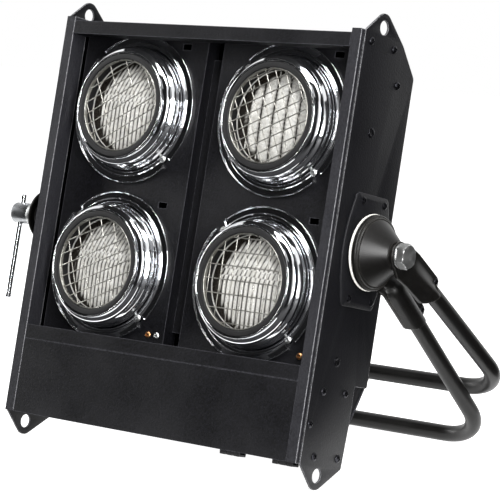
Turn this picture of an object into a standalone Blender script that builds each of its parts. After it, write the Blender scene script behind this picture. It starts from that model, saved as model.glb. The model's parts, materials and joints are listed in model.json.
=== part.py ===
"""Audience blinder: a steel head with four swivelling lamps, held between two bent tube yokes.

Metres, +Z up, floor at z = 0. The head leans back on its two lower ears and the inner yoke's bar.

The head is drawn upright in its own frame: x = 0 on the centre line, y = 0 on the front face,
z = 0 on the bottom edge. It is then hung on the pivot axis with its lean. Depths called "dx" are
measured outwards from a side plate's outer face, and right-hand pieces are mirrored to the left.
"""

import math

import bmesh
import bpy
from mathutils import Matrix, Vector

# Gaps between touching pieces
CLEARANCE = 0.0003

# Side plates
PLATE_THICKNESS = 0.002
PLATE_FRONT_Y = 0.0044
PLATE_REAR_Y = 0.106
PLATE_TOP_BEND_Y = 0.077
PLATE_TOP_BEND_DROP = 0.003
PLATE_REAR_TOP_DROP = 0.033
NOTCH_TOP_Z = 0.086
NOTCH_Y = 0.083
NOTCH_LOW_Z = 0.0435
PLATE_REAR_FOOT = (0.080, -0.002)
EAR_RADIUS = 0.0151
EAR_HOLE_RADIUS = 0.0075
TOP_EAR_Y = 0.0368
TOP_EAR_RISE = 0.0078
BOTTOM_EAR = (0.0375, -0.0108)
EAR_STEPS = 6

# Front frame
STILE_WIDTH = 0.0146
STILE_ABOVE_RAIL = 0.0045
FRAME_DEPTH = 0.0223
FRAME_SHEET = 0.0015
TOP_RAIL_HEIGHT = 0.0149
LOWER_RAIL_Z = (0.0837, 0.0996)

# Covers
COVER_SHEET = 0.0015
COVER_TOP_BEND_Y = 0.076
COVER_REAR_Y = 0.1054
COVER_REAR_TOP_DROP = 0.0014
FLARE_START_Z = 0.114
FLARE = (0.1104, 0.096)
SLANT_FOOT = (0.083, 0.037)
CHEEK_FRONT_Y = 0.070
CHEEK_INSET = 0.0008
CHASSIS_LIP = 0.015

# Lamp trays and the spine between them
TRAY_FRONT_Y = 0.0226
TRAY_INNER_X = 0.0109
TRAY_LOW_LAP = 0.0023
TRAY_TOP_LAP = 0.0029
TRAY_SIDE_GAP = 0.0051
TRAY_SHEET = 0.0012
TRAY_FLANGE = 0.020
SPINE_FRONT_Y = 0.036
SPINE_SHEET = 0.0015
SLOT_SIZE = (0.012, 0.0065)
SLOT_INSIDE_RING_X = 0.022
SLOT_INSIDE_RING_Z = 0.0107
SCREW_ABOVE_RAIL = (0.0073, 0.0074, 0.0086)
SCREW_FROM_INNER_EDGE = (0.0221, 0.0101)
SCREW_FROM_OUTER_EDGE = 0.014
SCREW_HEAD_RADIUS = 0.0045
SCREW_HEAD_HEIGHT = 0.0025
SCREW_SHANK_RADIUS = 0.002
SCREW_SHANK_LENGTH = 0.008
SCREW_TOP_RADIUS = 0.0032
SCREW_STEPS = 8

# Lamps. Distances called "d" run forwards from the tray's face at the lamp's centre.
BALL_GAP = 0.0007
RING_WIDTH = 0.0128
RING_SHEET = 0.0015
RING_INNER_MARGIN = 0.0081
RING_OVERHANG = 0.0003
RING_SPACING_Z = 0.0094
RING_BEHIND_LOWER_RAIL = 0.0061
RING_BEHIND_TOP_RAIL = 0.0049
DOME_RADIUS = 0.0043
DOME_HEIGHT = 0.0036
SWIVEL_ANGLE = math.radians(45)
PIN_RADIUS = 0.002
PIN_REACH_IN = 0.0040
PIN_TAIL = 0.0050
BEZEL_FRONT_D = 0.0276
BEZEL_FRONT_WALL = 0.0024
BEZEL_SWELL = 0.0095
BEZEL_BACK_D = -0.016
BEZEL_FRONT_FOOT_D = 0.023
BEZEL_ROLLS = ((0.0216, 0.0145), (0.0125, 0.0040))
BEZEL_ROLL_SLOPE = 0.0006
BEZEL_WALL = 0.002
BEZEL_WAIST_D = -0.004
BEZEL_WAIST_WALL = 0.003
LAMP_RADIUS = 0.057
LAMP_RIM = 0.002
LAMP_WALL = 0.0035
LAMP_FIT = 0.0016
LENS_CROWN = 0.0032
LENS_MIDDLE_RADIUS = 0.031
LENS_MIDDLE_CROWN = 0.0024
SEAT_D = 0.0067
SEAT_LIP = 0.0018
LAMP_DEPTH = 0.059
LAMP_NECK_RADIUS = 0.012
LAMP_NECK_LENGTH = 0.007
LAMP_VENT_RADIUS = 0.004
BULB_SHARES = (0.35, 0.75, 1.0)
GASKET_LAP = 0.005
GUARD_WIRE = 0.0012
GUARD_LAYER_STEP = 0.0003
GUARD_FRONT_D = 0.0268
GUARD_PITCH = 0.020
GUARD_BAND = 0.0013
GUARD_TURN = {"TL": 30.0, "TR": 60.0, "BL": 25.0, "BR": 0.0}
LAMP_STEPS = 24
LAMP_BULB_STEPS = 16

# Pivot stack, from the side plate outwards
PIVOT_Y = 0.0605
PIVOT_Z = 0.2274
HEAD_LEAN = math.radians(11.8)
PIVOT_PLATE_THICKNESS = 0.0047
PIVOT_PLATE_HALF_END = 0.029
PIVOT_PLATE_BULGE = 0.012
PIVOT_PLATE_HALF_HEIGHT = 0.060
PIVOT_PLATE_CORNER = 0.006
PIVOT_PLATE_ROWS = 8
WASHER_RADIUS = 0.042
WASHER_THICKNESS = 0.0018
CONE_RADIUS = 0.040
CONE_RIM = 0.0053
CONE_TIP_RADIUS = 0.015
CONE_HEIGHT = 0.0303
BOLT_RADIUS = 0.008
BORE_STEPS = 20
HUB_STEPS = 24
BOLT_HEAD_FLATS = 0.024
BOLT_HEAD_HEIGHT = 0.0114
CAPTIVE_NUT_LENGTH = 0.013
BOLT_TAIL = 0.005
STUD_END_DX = 0.072
COLLAR_RADIUS = 0.014
COLLAR_LENGTH = 0.0111
CLAMP_NUT_RADIUS = 0.0123
CLAMP_NUT_LENGTH = 0.026
TOMMY_BAR_DX = 0.077
TOMMY_BAR_RADIUS = 0.00325
TOMMY_BAR_LOW = -0.1007
TOMMY_BAR_HIGH = 0.0224
TOMMY_TIP_RADIUS = 0.0039
TOMMY_TIP_LENGTH = 0.006

# Yokes
TUBE_RADIUS = 0.00925
BEND_RADIUS = 0.060
BEND_STEPS = 6
TUBE_SIDES = 12
INNER_ARM_DX = 0.0135
INNER_REACH = 0.340
INNER_TUBE_START = 0.070
INNER_BRACKET_LENGTH = 0.120
INNER_JOGGLE = (0.044, 0.051)
OUTER_ARM_DX = 0.050
OUTER_REACH = 0.283
YOKE_SPREAD = math.radians(6.35)
OUTER_TUBE_START = 0.042
OUTER_BRACKET_LENGTH = 0.078
OUTER_JOGGLE = (0.021, 0.029)
BRACKET_THICKNESS = 0.004
BRACKET_HALF_WIDTH = 0.020
BRACKET_CORNER = 0.008
HUMP_WALL = 0.0023
HUMP_LEAD = 0.004
KEEP_OUT = 0.001

# Electrical pieces in the lower compartment
SOCKET_FROM_SIDE = (0.0441, 0.0841)
SOCKET_FLANGE = (0.026, 0.031, 0.0025)
SOCKET_BARREL_RADIUS = 0.0118
SOCKET_BARREL_LENGTH = 0.020
SOCKET_HOLLOW_RADIUS = 0.0097
SOCKET_HOLLOW_DEPTH = 0.010
SOCKET_STEPS = 16
DIMMER_FROM_SIDE = 0.0741
DIMMER_Y = (0.028, 0.074)
DIMMER_BASE_HEIGHT = 0.012
DIMMER_HEIGHT = 0.040
DIMMER_FINS = 7
TERMINAL_FROM_SIDE = 0.0241
TERMINAL_LENGTH = 0.040
TERMINAL_Y = (0.030, 0.052)
TERMINAL_HEIGHT = 0.020

# Sizes and places that follow, from the lamp outwards
GASKET_INNER_RADIUS = LAMP_RADIUS - GASKET_LAP
BEZEL_FRONT_RADIUS = LAMP_RADIUS + LAMP_FIT + BEZEL_FRONT_WALL
BALL_RADIUS = BEZEL_FRONT_RADIUS + BEZEL_SWELL
LAMP_BORE = BALL_RADIUS + BALL_GAP
RING_RADIUS = LAMP_BORE + RING_WIDTH
LAMP_X = TRAY_INNER_X + RING_INNER_MARGIN + RING_RADIUS
LAMP_LOW_Z = LOWER_RAIL_Z[1] + RING_RADIUS - RING_BEHIND_LOWER_RAIL
LAMP_PITCH_Z = 2 * RING_RADIUS + RING_SPACING_Z
TOP_RAIL_LOW_Z = LAMP_LOW_Z + LAMP_PITCH_Z + RING_RADIUS - RING_BEHIND_TOP_RAIL
TOP_RAIL_Z = (TOP_RAIL_LOW_Z, TOP_RAIL_LOW_Z + TOP_RAIL_HEIGHT)
TRAY_Z = (LOWER_RAIL_Z[0] + TRAY_LOW_LAP, TOP_RAIL_Z[1] - TRAY_TOP_LAP)
TRAY_OUTER_X = LAMP_X + RING_RADIUS - RING_OVERHANG
STILE_INNER_X = TRAY_OUTER_X + TRAY_SIDE_GAP
STILE_HEIGHT = TOP_RAIL_Z[1] + STILE_ABOVE_RAIL
SLOT_FROM_LAMP = (RING_RADIUS - SLOT_INSIDE_RING_X, RING_RADIUS - SLOT_INSIDE_RING_Z)
HALF_WIDTH = STILE_INNER_X + STILE_WIDTH
HEAD_WIDTH = 2 * HALF_WIDTH
PLATE_TOP_BEND = (PLATE_TOP_BEND_Y, STILE_HEIGHT - PLATE_TOP_BEND_DROP)
PLATE_REAR_TOP_Z = STILE_HEIGHT - PLATE_REAR_TOP_DROP
COVER_REAR_TOP_Z = PLATE_REAR_TOP_Z - COVER_REAR_TOP_DROP
TOP_EAR = (TOP_EAR_Y, STILE_HEIGHT + TOP_EAR_RISE)

# Places that follow, from the head outwards
INSIDE_X = HALF_WIDTH - PLATE_THICKNESS - CLEARANCE
BETWEEN_STILES_X = STILE_INNER_X - CLEARANCE
BOLT_BORE = BOLT_RADIUS + CLEARANCE
PIVOT_FACE_DX = CLEARANCE + PIVOT_PLATE_THICKNESS
INNER_EYE_DX = PIVOT_FACE_DX + CLEARANCE
WASHER_DX = INNER_EYE_DX + BRACKET_THICKNESS + CLEARANCE
CONE_DX = WASHER_DX + WASHER_THICKNESS + CLEARANCE
OUTER_EYE_DX = CONE_DX + CONE_HEIGHT + CLEARANCE
BOLT_HEAD_DX = OUTER_EYE_DX + BRACKET_THICKNESS + CLEARANCE
CLAMP_NUT_DX = BOLT_HEAD_DX + COLLAR_LENGTH + CLEARANCE
CAPTIVE_NUT_DX = -PLATE_THICKNESS - CLEARANCE
BOLT_END_DX = CAPTIVE_NUT_DX - CAPTIVE_NUT_LENGTH - BOLT_TAIL
SLANT_CENTRE = ((FLARE[0] + SLANT_FOOT[0]) / 2, (FLARE[1] + SLANT_FOOT[1]) / 2)
SLANT_ANGLE = math.atan2(FLARE[0] - SLANT_FOOT[0], FLARE[1] - SLANT_FOOT[1])
RING_D = (CLEARANCE, CLEARANCE + RING_SHEET)
RAIL_DEPTH = TRAY_FRONT_Y - RING_D[1] - CLEARANCE
TRAY_SCREWS = (
    (-TRAY_INNER_X - SCREW_FROM_INNER_EDGE[0], LOWER_RAIL_Z[1] + SCREW_ABOVE_RAIL[0]),
    (-TRAY_INNER_X - SCREW_FROM_INNER_EDGE[1], LOWER_RAIL_Z[1] + SCREW_ABOVE_RAIL[1]),
    (TRAY_OUTER_X - SCREW_FROM_OUTER_EDGE, LOWER_RAIL_Z[1] + SCREW_ABOVE_RAIL[2]),
)
SOCKET_X = {
    "mains_inlet": SOCKET_FROM_SIDE[0] - INSIDE_X,
    "mains_outlet": SOCKET_FROM_SIDE[1] - INSIDE_X,
    "data_in": INSIDE_X - SOCKET_FROM_SIDE[1],
    "data_out": INSIDE_X - SOCKET_FROM_SIDE[0],
}
DIMMER_X = (DIMMER_FROM_SIDE - INSIDE_X, INSIDE_X - DIMMER_FROM_SIDE)
TERMINAL_X = (TERMINAL_FROM_SIDE - INSIDE_X, TERMINAL_FROM_SIDE + TERMINAL_LENGTH - INSIDE_X)
SWIVEL_AXIS = Vector((math.cos(SWIVEL_ANGLE), 0, -math.sin(SWIVEL_ANGLE)))
ALONG_X = (1, 0, 0)
ALONG_Y = (0, 1, 0)
ALONG_Z = (0, 0, 1)
FORWARDS = (0, -1, 0)

for old in list(bpy.data.objects):
    bpy.data.objects.remove(old)
scene = bpy.context.scene


# Materials

def material(name, colour, roughness, metallic):
    """Make a plain Principled material."""
    result = bpy.data.materials.new(name)
    result.use_nodes = True
    shader = result.node_tree.nodes["Principled BSDF"]
    shader.inputs["Base Color"].default_value = (*colour, 1)
    shader.inputs["Roughness"].default_value = roughness
    shader.inputs["Metallic"].default_value = metallic
    return result


BLACK_PAINT = material("black_paint", (0.022, 0.022, 0.025), 0.45, 0.0)
CHROME = material("chrome", (0.80, 0.80, 0.82), 0.08, 1.0)
ZINC = material("zinc", (0.66, 0.67, 0.70), 0.28, 1.0)
BRASS = material("brass", (0.72, 0.45, 0.26), 0.30, 1.0)
WHITE_NYLON = material("white_nylon", (0.85, 0.85, 0.83), 0.45, 0.0)
BLACK_RUBBER = material("black_rubber", (0.020, 0.020, 0.020), 0.70, 0.0)
LAMP_GLASS = material("lamp_glass", (0.86, 0.88, 0.89), 0.10, 0.0)
BARE_METAL = material("bare_metal", (0.55, 0.56, 0.57), 0.40, 1.0)
BLACK_PLASTIC = material("black_plastic", (0.030, 0.030, 0.032), 0.50, 0.0)


# Basic shapes, all returned as closed meshes

def closed_mesh(points, faces):
    """Make a mesh from corner points and faces, with its normals pointing out."""
    shape = bmesh.new()
    corners = [shape.verts.new(point) for point in points]
    for face in faces:
        shape.faces.new([corners[index] for index in face])
    bmesh.ops.recalc_face_normals(shape, faces=shape.faces)
    mesh = bpy.data.meshes.new("shape")
    shape.to_mesh(mesh)
    shape.free()
    return mesh


def prism(outline, low, high, along):
    """Push a flat outline from low to high along X, Y or Z. The outline holds the other two axes."""
    index = "XYZ".index(along)
    points = []
    for level in (low, high):
        for corner in outline:
            point = list(corner)
            point.insert(index, level)
            points.append(point)
    count = len(outline)
    faces = [list(range(count)), list(range(count, 2 * count))]
    for i in range(count):
        j = (i + 1) % count
        faces.append([i, j, count + j, count + i])
    return closed_mesh(points, faces)


def box(x, y, z):
    """Make a box between three pairs of limits."""
    outline = [(x[0], y[0]), (x[1], y[0]), (x[1], y[1]), (x[0], y[1])]
    return prism(outline, z[0], z[1], "Z")


def turned(profile, axis, steps, ring=True):
    """Turn a profile of (radius, place along the axis) about an axis through the origin.

    A ring's profile closes on itself. Otherwise its first and last points lie on the axis.
    """
    turn_up = Vector(axis).to_track_quat("Z", "Y").to_matrix()
    points = []
    rows = []
    for radius, place in profile:
        if radius == 0:
            rows.append([len(points)] * steps)
            points.append(turn_up @ Vector((0, 0, place)))
            continue
        rows.append(list(range(len(points), len(points) + steps)))
        for step in range(steps):
            angle = 2 * math.pi * step / steps
            points.append(turn_up @ Vector((radius * math.cos(angle), radius * math.sin(angle), place)))
    faces = []
    row_pairs = list(zip(rows, rows[1:]))
    if ring:
        row_pairs.append((rows[-1], rows[0]))
    for first, second in row_pairs:
        for step in range(steps):
            after = (step + 1) % steps
            corners = [first[step], first[after], second[after], second[step]]
            faces.append(list(dict.fromkeys(corners)))
    return closed_mesh(points, faces)


def rod(radius, low, high, axis, steps):
    """Make a plain round bar along an axis through the origin."""
    return turned([(0, low), (radius, low), (radius, high), (0, high)], axis, steps, ring=False)


def washer(outer, inner, low, high, axis, steps):
    """Make a flat ring about an axis through the origin."""
    return turned([(inner, low), (outer, low), (outer, high), (inner, high)], axis, steps)


def moved(mesh, x=0.0, y=0.0, z=0.0):
    """Shift a mesh and return it."""
    mesh.transform(Matrix.Translation((x, y, z)))
    return mesh


def mirrored(mesh):
    """Return a copy of a mesh for the other side of x = 0."""
    copy = mesh.copy()
    copy.transform(Matrix.Scale(-1, 4, (1, 0, 0)))
    copy.flip_normals()
    return copy


def combine(base, *steps):
    """Return base after each step's shape is cut from it, joined to it or shared with it."""
    body = bpy.data.objects.new("body", base)
    scene.collection.objects.link(body)
    tools = []
    for operation, shape in steps:
        tool = bpy.data.objects.new("tool", shape)
        scene.collection.objects.link(tool)
        tools.append(tool)
        boolean = body.modifiers.new(operation, "BOOLEAN")
        boolean.operation = operation
        boolean.solver = "EXACT"
        boolean.object = tool
    graph = bpy.context.evaluated_depsgraph_get()
    result = bpy.data.meshes.new_from_object(body.evaluated_get(graph))
    for helper in (body, *tools):
        bpy.data.objects.remove(helper)
    return result


def arc(centre, radius, start, end, steps):
    """Return points on an arc between two angles in degrees."""
    angles = [math.radians(start + (end - start) * i / steps) for i in range(steps + 1)]
    return [(centre[0] + radius * math.cos(a), centre[1] + radius * math.sin(a)) for a in angles]


def folded_sheet(path, thickness):
    """Return the outline of a sheet bent along a path, with its thickness to the path's left."""
    points = [Vector(point) for point in path]
    inner = []
    for i, point in enumerate(points):
        before = (point - points[i - 1]).normalized() if i > 0 else None
        after = (points[i + 1] - point).normalized() if i < len(points) - 1 else None
        before = before or after
        after = after or before
        left = Vector((-before.y - after.y, before.x + after.x)).normalized()
        spread = left.dot(Vector((-before.y, before.x)))
        inner.append(point + left * (thickness / spread))
    return [tuple(point) for point in points] + [tuple(point) for point in reversed(inner)]


# Parents: the whole part, then one empty on each joint's axis

def empty(name, parent=None, location=(0, 0, 0), rotation_x=0.0):
    """Add an empty to carry the pieces of one moving body."""
    result = bpy.data.objects.new(name, None)
    scene.collection.objects.link(result)
    result.parent = parent
    result.location = location
    result.rotation_euler = (rotation_x, 0, 0)
    return result


def piece(name, mesh, look, parent, location=(0, 0, 0)):
    """Add one named piece of the part."""
    mesh.name = name
    mesh.materials.clear()
    mesh.materials.append(look)
    mesh.shade_smooth()
    mesh.set_sharp_from_angle(angle=math.radians(30))
    result = bpy.data.objects.new(name, mesh)
    scene.collection.objects.link(result)
    result.parent = parent
    result.location = location
    return result


def head_piece(name, mesh, look):
    """Add a piece that is drawn in the head's own frame."""
    return piece(name, mesh, look, head, (0, -PIVOT_Y, -PIVOT_Z))


def pair(name, mesh, look, add):
    """Add a right-hand piece and its mirror image on the left."""
    add(name + "_L", mirrored(mesh), look)
    add(name + "_R", mesh, look)


def tangent_angle(point, centre, radius, turn):
    """Return the angle in degrees on a circle where a line from a point touches it."""
    away = Vector(point) - Vector(centre)
    swing = math.degrees(math.acos(radius / away.length))
    return math.degrees(math.atan2(away.y, away.x)) + turn * swing


def side_plate_outline():
    """Return the side plate's (y, z) outline with its two rounded ears."""
    front_top = (PLATE_FRONT_Y, STILE_HEIGHT)
    front_foot = (PLATE_FRONT_Y, 0.0)
    top_start = tangent_angle(front_top, TOP_EAR, EAR_RADIUS, -1)
    top_end = tangent_angle(PLATE_TOP_BEND, TOP_EAR, EAR_RADIUS, 1)
    foot_start = tangent_angle(PLATE_REAR_FOOT, BOTTOM_EAR, EAR_RADIUS, -1)
    foot_end = tangent_angle(front_foot, BOTTOM_EAR, EAR_RADIUS, 1)
    top_start, top_end = top_start % 360, top_end % 360
    foot_start, foot_end = foot_start % 360, foot_end % 360
    return [
        front_top,
        *arc(TOP_EAR, EAR_RADIUS, top_start, top_end, EAR_STEPS),
        PLATE_TOP_BEND,
        (PLATE_REAR_Y, PLATE_REAR_TOP_Z),
        (PLATE_REAR_Y, NOTCH_TOP_Z),
        (NOTCH_Y, NOTCH_TOP_Z),
        (NOTCH_Y, NOTCH_LOW_Z),
        PLATE_REAR_FOOT,
        *arc(BOTTOM_EAR, EAR_RADIUS, foot_start, foot_end, EAR_STEPS),
        front_foot,
    ]


def lowest_after_lean(outline):
    """Return how far the leaning head reaches below the pivot axis."""
    drops = []
    for y, z in outline:
        drops.append((y - PIVOT_Y) * math.sin(HEAD_LEAN) - (z - PIVOT_Z) * math.cos(HEAD_LEAN))
    return max(drops)


PIVOT_HEIGHT = lowest_after_lean(side_plate_outline())
INNER_DROP = math.asin((PIVOT_HEIGHT - TUBE_RADIUS) / INNER_REACH)
OUTER_DROP = INNER_DROP - YOKE_SPREAD

blinder = empty("blinder")
pivot = (0, 0, PIVOT_HEIGHT)
floor_stand = empty("floor_stand", blinder, pivot, -INNER_DROP)
outer_yoke = empty("outer_yoke", blinder, pivot, -OUTER_DROP)
head = empty("head", blinder, pivot, -HEAD_LEAN)


# Side plates, with the bolt bore and a hole in each ear

def side_plate():
    """Make the right side plate."""
    plate = prism(side_plate_outline(), HALF_WIDTH - PLATE_THICKNESS, HALF_WIDTH, "X")
    holes = [(*TOP_EAR, EAR_HOLE_RADIUS), (*BOTTOM_EAR, EAR_HOLE_RADIUS), (PIVOT_Y, PIVOT_Z, BOLT_BORE)]
    cuts = []
    for y, z, radius in holes:
        hole = rod(radius, 0, HEAD_WIDTH, ALONG_X, BORE_STEPS)
        cuts.append(("DIFFERENCE", moved(hole, 0, y, z)))
    return combine(plate, *cuts)


pair("side_plate", side_plate(), BLACK_PAINT, head_piece)


# Front frame: a folded stile on each side, a rail above and below the window

stile_path = [(STILE_INNER_X, FRAME_DEPTH), (STILE_INNER_X, 0), (INSIDE_X, 0), (INSIDE_X, FRAME_DEPTH)]
stile = prism(folded_sheet(stile_path, FRAME_SHEET), 0, STILE_HEIGHT, "Z")
pair("front_stile", stile, BLACK_PAINT, head_piece)

for name, (low, high) in (("top_rail", TOP_RAIL_Z), ("lower_rail", LOWER_RAIL_Z)):
    rail_path = [(RAIL_DEPTH, high), (0, high), (0, low), (RAIL_DEPTH, low)]
    rail = prism(folded_sheet(rail_path, FRAME_SHEET), -BETWEEN_STILES_X, BETWEEN_STILES_X, "X")
    head_piece(name, rail, BLACK_PAINT)


# Lower cover, chassis and rear cover

cover_path = [(0, LOWER_RAIL_Z[0] - CLEARANCE), (0, 0), (FRAME_DEPTH, 0)]
lower_cover = prism(folded_sheet(cover_path, COVER_SHEET), -BETWEEN_STILES_X, BETWEEN_STILES_X, "X")
head_piece("lower_cover", lower_cover, BLACK_PAINT)

CHASSIS_FRONT_Y = FRAME_DEPTH + CLEARANCE
chassis_path = [(CHASSIS_FRONT_Y, CHASSIS_LIP), (CHASSIS_FRONT_Y, 0), (SLANT_FOOT[0], 0)]
chassis = prism(folded_sheet(chassis_path, COVER_SHEET), -INSIDE_X, INSIDE_X, "X")
head_piece("chassis_plate", chassis, BLACK_PAINT)


def on_slant(mesh, x):
    """Place a mesh drawn on the plane y = 0, facing +Y, on the rear cover's slanted panel."""
    mesh.transform(Matrix.Rotation(-SLANT_ANGLE, 4, "X"))
    return moved(mesh, x, *SLANT_CENTRE)


def rear_cover():
    """Make the bent cover over the top and back, with end cheeks and the socket holes."""
    path = [
        (SLANT_FOOT[0], COVER_SHEET + CLEARANCE),
        SLANT_FOOT,
        FLARE,
        (COVER_REAR_Y, FLARE_START_Z),
        (COVER_REAR_Y, COVER_REAR_TOP_Z),
        (COVER_TOP_BEND_Y, TOP_RAIL_Z[1]),
        (CHASSIS_FRONT_Y, TOP_RAIL_Z[1]),
    ]
    sheet = prism(folded_sheet(path, COVER_SHEET), -INSIDE_X, INSIDE_X, "X")
    cheek_outline = [
        (SLANT_FOOT[0] - CHEEK_INSET, SLANT_FOOT[1]),
        (FLARE[0] - CHEEK_INSET, FLARE[1]),
        (COVER_REAR_Y - CHEEK_INSET, FLARE_START_Z),
        (CHEEK_FRONT_Y, FLARE_START_Z),
        (CHEEK_FRONT_Y, SLANT_FOOT[1]),
    ]
    cheek = prism(cheek_outline, INSIDE_X - CHEEK_INSET - COVER_SHEET, INSIDE_X - CHEEK_INSET, "X")
    steps = [("UNION", cheek), ("UNION", mirrored(cheek))]
    for x in SOCKET_X.values():
        radius = SOCKET_BARREL_RADIUS + CLEARANCE
        hole = rod(radius, -SOCKET_BARREL_LENGTH, SOCKET_BARREL_LENGTH, ALONG_Y, SOCKET_STEPS)
        steps.append(("DIFFERENCE", on_slant(hole, x)))
    return combine(sheet, *steps)


head_piece("rear_cover", rear_cover(), BLACK_PAINT)


# Lamp trays and the spine that carries their inner edges

LAMP_PLACES = {
    "TL": (-LAMP_X, LAMP_LOW_Z + LAMP_PITCH_Z),
    "TR": (LAMP_X, LAMP_LOW_Z + LAMP_PITCH_Z),
    "BL": (-LAMP_X, LAMP_LOW_Z),
    "BR": (LAMP_X, LAMP_LOW_Z),
}


def pin_slot(way):
    """Make the clearance slot for a swivel pin, on one side of the lamp's centre."""
    start = BALL_RADIUS - PIN_REACH_IN
    end = LAMP_BORE + DOME_RADIUS + PIN_TAIL
    width = PIN_RADIUS + 2 * CLEARANCE
    slot = box((start, end), (-TRAY_SHEET, 2 * TRAY_SHEET), (-width, width))
    turn = SWIVEL_ANGLE if way > 0 else SWIVEL_ANGLE + math.pi
    slot.transform(Matrix.Rotation(turn, 4, "Y"))
    return slot


def lamp_tray(side):
    """Make a tray with two lamp holes, slots, pin slots and screw holes, side is -1 or 1."""
    back = TRAY_FRONT_Y + TRAY_FLANGE
    front = TRAY_FRONT_Y
    path = [(TRAY_INNER_X, back), (TRAY_INNER_X, front), (TRAY_OUTER_X, front), (TRAY_OUTER_X, back)]
    tray = prism(folded_sheet(path, TRAY_SHEET), *TRAY_Z, "Z")
    if side < 0:
        tray = mirrored(tray)
    steps = []
    for x, z in LAMP_PLACES.values():
        if x * side < 0:
            continue
        hole = rod(LAMP_BORE, -TRAY_SHEET * 3, TRAY_SHEET * 2, FORWARDS, LAMP_STEPS)
        steps.append(("DIFFERENCE", moved(hole, x, TRAY_FRONT_Y, z)))
        for way in (-1, 1):
            steps.append(("DIFFERENCE", moved(pin_slot(way), x, TRAY_FRONT_Y, z)))
        width, height = SLOT_SIZE
        slot = box((-width / 2, width / 2), (-TRAY_SHEET, 2 * TRAY_SHEET), (-height / 2, height / 2))
        steps.append(("DIFFERENCE", moved(slot, x + SLOT_FROM_LAMP[0], TRAY_FRONT_Y, z + SLOT_FROM_LAMP[1])))
    for x, z in TRAY_SCREWS:
        if x * side < 0:
            continue
        hole = rod(SCREW_SHANK_RADIUS + CLEARANCE, -TRAY_SHEET * 3, TRAY_SHEET * 2, FORWARDS, SCREW_STEPS)
        steps.append(("DIFFERENCE", moved(hole, x, TRAY_FRONT_Y, z)))
    return combine(tray, *steps)


head_piece("lamp_tray_L", lamp_tray(-1), BLACK_PAINT)
head_piece("lamp_tray_R", lamp_tray(1), BLACK_PAINT)

spine_half = TRAY_INNER_X - CLEARANCE
spine_back = COVER_REAR_Y - COVER_SHEET - CLEARANCE
spine_path = [
    (-spine_half, spine_back),
    (-spine_half, SPINE_FRONT_Y),
    (spine_half, SPINE_FRONT_Y),
    (spine_half, spine_back),
]
spine = prism(folded_sheet(spine_path, SPINE_SHEET), FLARE_START_Z, COVER_REAR_TOP_Z - COVER_SHEET, "Z")
head_piece("centre_spine", spine, BLACK_PAINT)

for number, (x, z) in enumerate(TRAY_SCREWS, start=1):
    screw_profile = [
        (0, -SCREW_SHANK_LENGTH),
        (SCREW_SHANK_RADIUS, -SCREW_SHANK_LENGTH),
        (SCREW_SHANK_RADIUS, CLEARANCE),
        (SCREW_HEAD_RADIUS, CLEARANCE),
        (SCREW_HEAD_RADIUS, CLEARANCE + SCREW_HEAD_HEIGHT / 2),
        (SCREW_TOP_RADIUS, CLEARANCE + SCREW_HEAD_HEIGHT),
        (0, CLEARANCE + SCREW_HEAD_HEIGHT),
    ]
    screw = turned(screw_profile, FORWARDS, SCREW_STEPS, ring=False)
    head_piece(f"tray_screw_{number}", moved(screw, x, TRAY_FRONT_Y, z), BRASS)


# Lamp mounting rings, each with its two swivel pins under domed caps

def swivel_pin(way):
    """Make a pin and its dome, on one side of the lamp's centre."""
    start = BALL_RADIUS - PIN_REACH_IN
    dome_place = LAMP_BORE + DOME_RADIUS
    pin = rod(PIN_RADIUS, start, dome_place + PIN_TAIL / 2, SWIVEL_AXIS * way, SCREW_STEPS)
    dome_back = RING_D[0] + RING_SHEET / 3
    profile = [(0, dome_back), (DOME_RADIUS, dome_back)]
    for angle in (0, 45):
        turn = math.radians(angle)
        height = RING_D[1] + (DOME_HEIGHT - RING_D[1]) * math.sin(turn)
        profile.append((DOME_RADIUS * math.cos(turn), height))
    profile.append((0, DOME_HEIGHT))
    dome = turned(profile, FORWARDS, SCREW_STEPS, ring=False)
    place = SWIVEL_AXIS * way * dome_place
    return pin, moved(dome, *place)


def lamp_ring():
    """Make the flat ring on the tray's face, with both pins."""
    ring = washer(RING_RADIUS, LAMP_BORE, RING_D[0], RING_D[1], FORWARDS, LAMP_STEPS)
    steps = []
    for way in (-1, 1):
        for shape in swivel_pin(way):
            steps.append(("UNION", shape))
    return combine(ring, *steps)


# Lamp units: bezel, sealed beam lamp, wire guard and gasket

def ball_radius_at(d):
    """Return the largest radius that still swivels freely at a distance from the centre plane."""
    return math.sqrt(BALL_RADIUS ** 2 - d ** 2) - CLEARANCE


def bezel():
    """Make the stepped chrome bezel, with a deep seat for the lamp and holes for the swivel pins."""
    recess = LAMP_RADIUS + LAMP_FIT
    lip = recess - LAMP_FIT - SEAT_LIP
    outer = [(BEZEL_FRONT_RADIUS, BEZEL_FRONT_D), (BEZEL_FRONT_RADIUS, BEZEL_FRONT_FOOT_D)]
    for front, back in BEZEL_ROLLS:
        radius = ball_radius_at(front) - CLEARANCE
        outer.append((radius, front))
        outer.append((radius + BEZEL_ROLL_SLOPE, back))
    outer.append((ball_radius_at(BEZEL_BACK_D), BEZEL_BACK_D))
    inner = [
        (ball_radius_at(BEZEL_BACK_D) - BEZEL_WALL, BEZEL_BACK_D),
        (BALL_RADIUS - BEZEL_WAIST_WALL, BEZEL_WAIST_D),
        (recess + BEZEL_WALL, SEAT_D - BEZEL_WALL),
        (lip, SEAT_D - BEZEL_WALL),
        (lip, SEAT_D),
        (recess, SEAT_D),
        (recess, BEZEL_FRONT_D),
    ]
    shell = turned(outer + inner, FORWARDS, LAMP_STEPS)
    hole = rod(PIN_RADIUS + 2 * CLEARANCE, -RING_RADIUS, RING_RADIUS, SWIVEL_AXIS, SCREW_STEPS)
    return combine(shell, ("DIFFERENCE", hole))


LAMP_BACK_D = SEAT_D + CLEARANCE
LENS_EDGE_D = LAMP_BACK_D + LAMP_RIM


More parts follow.
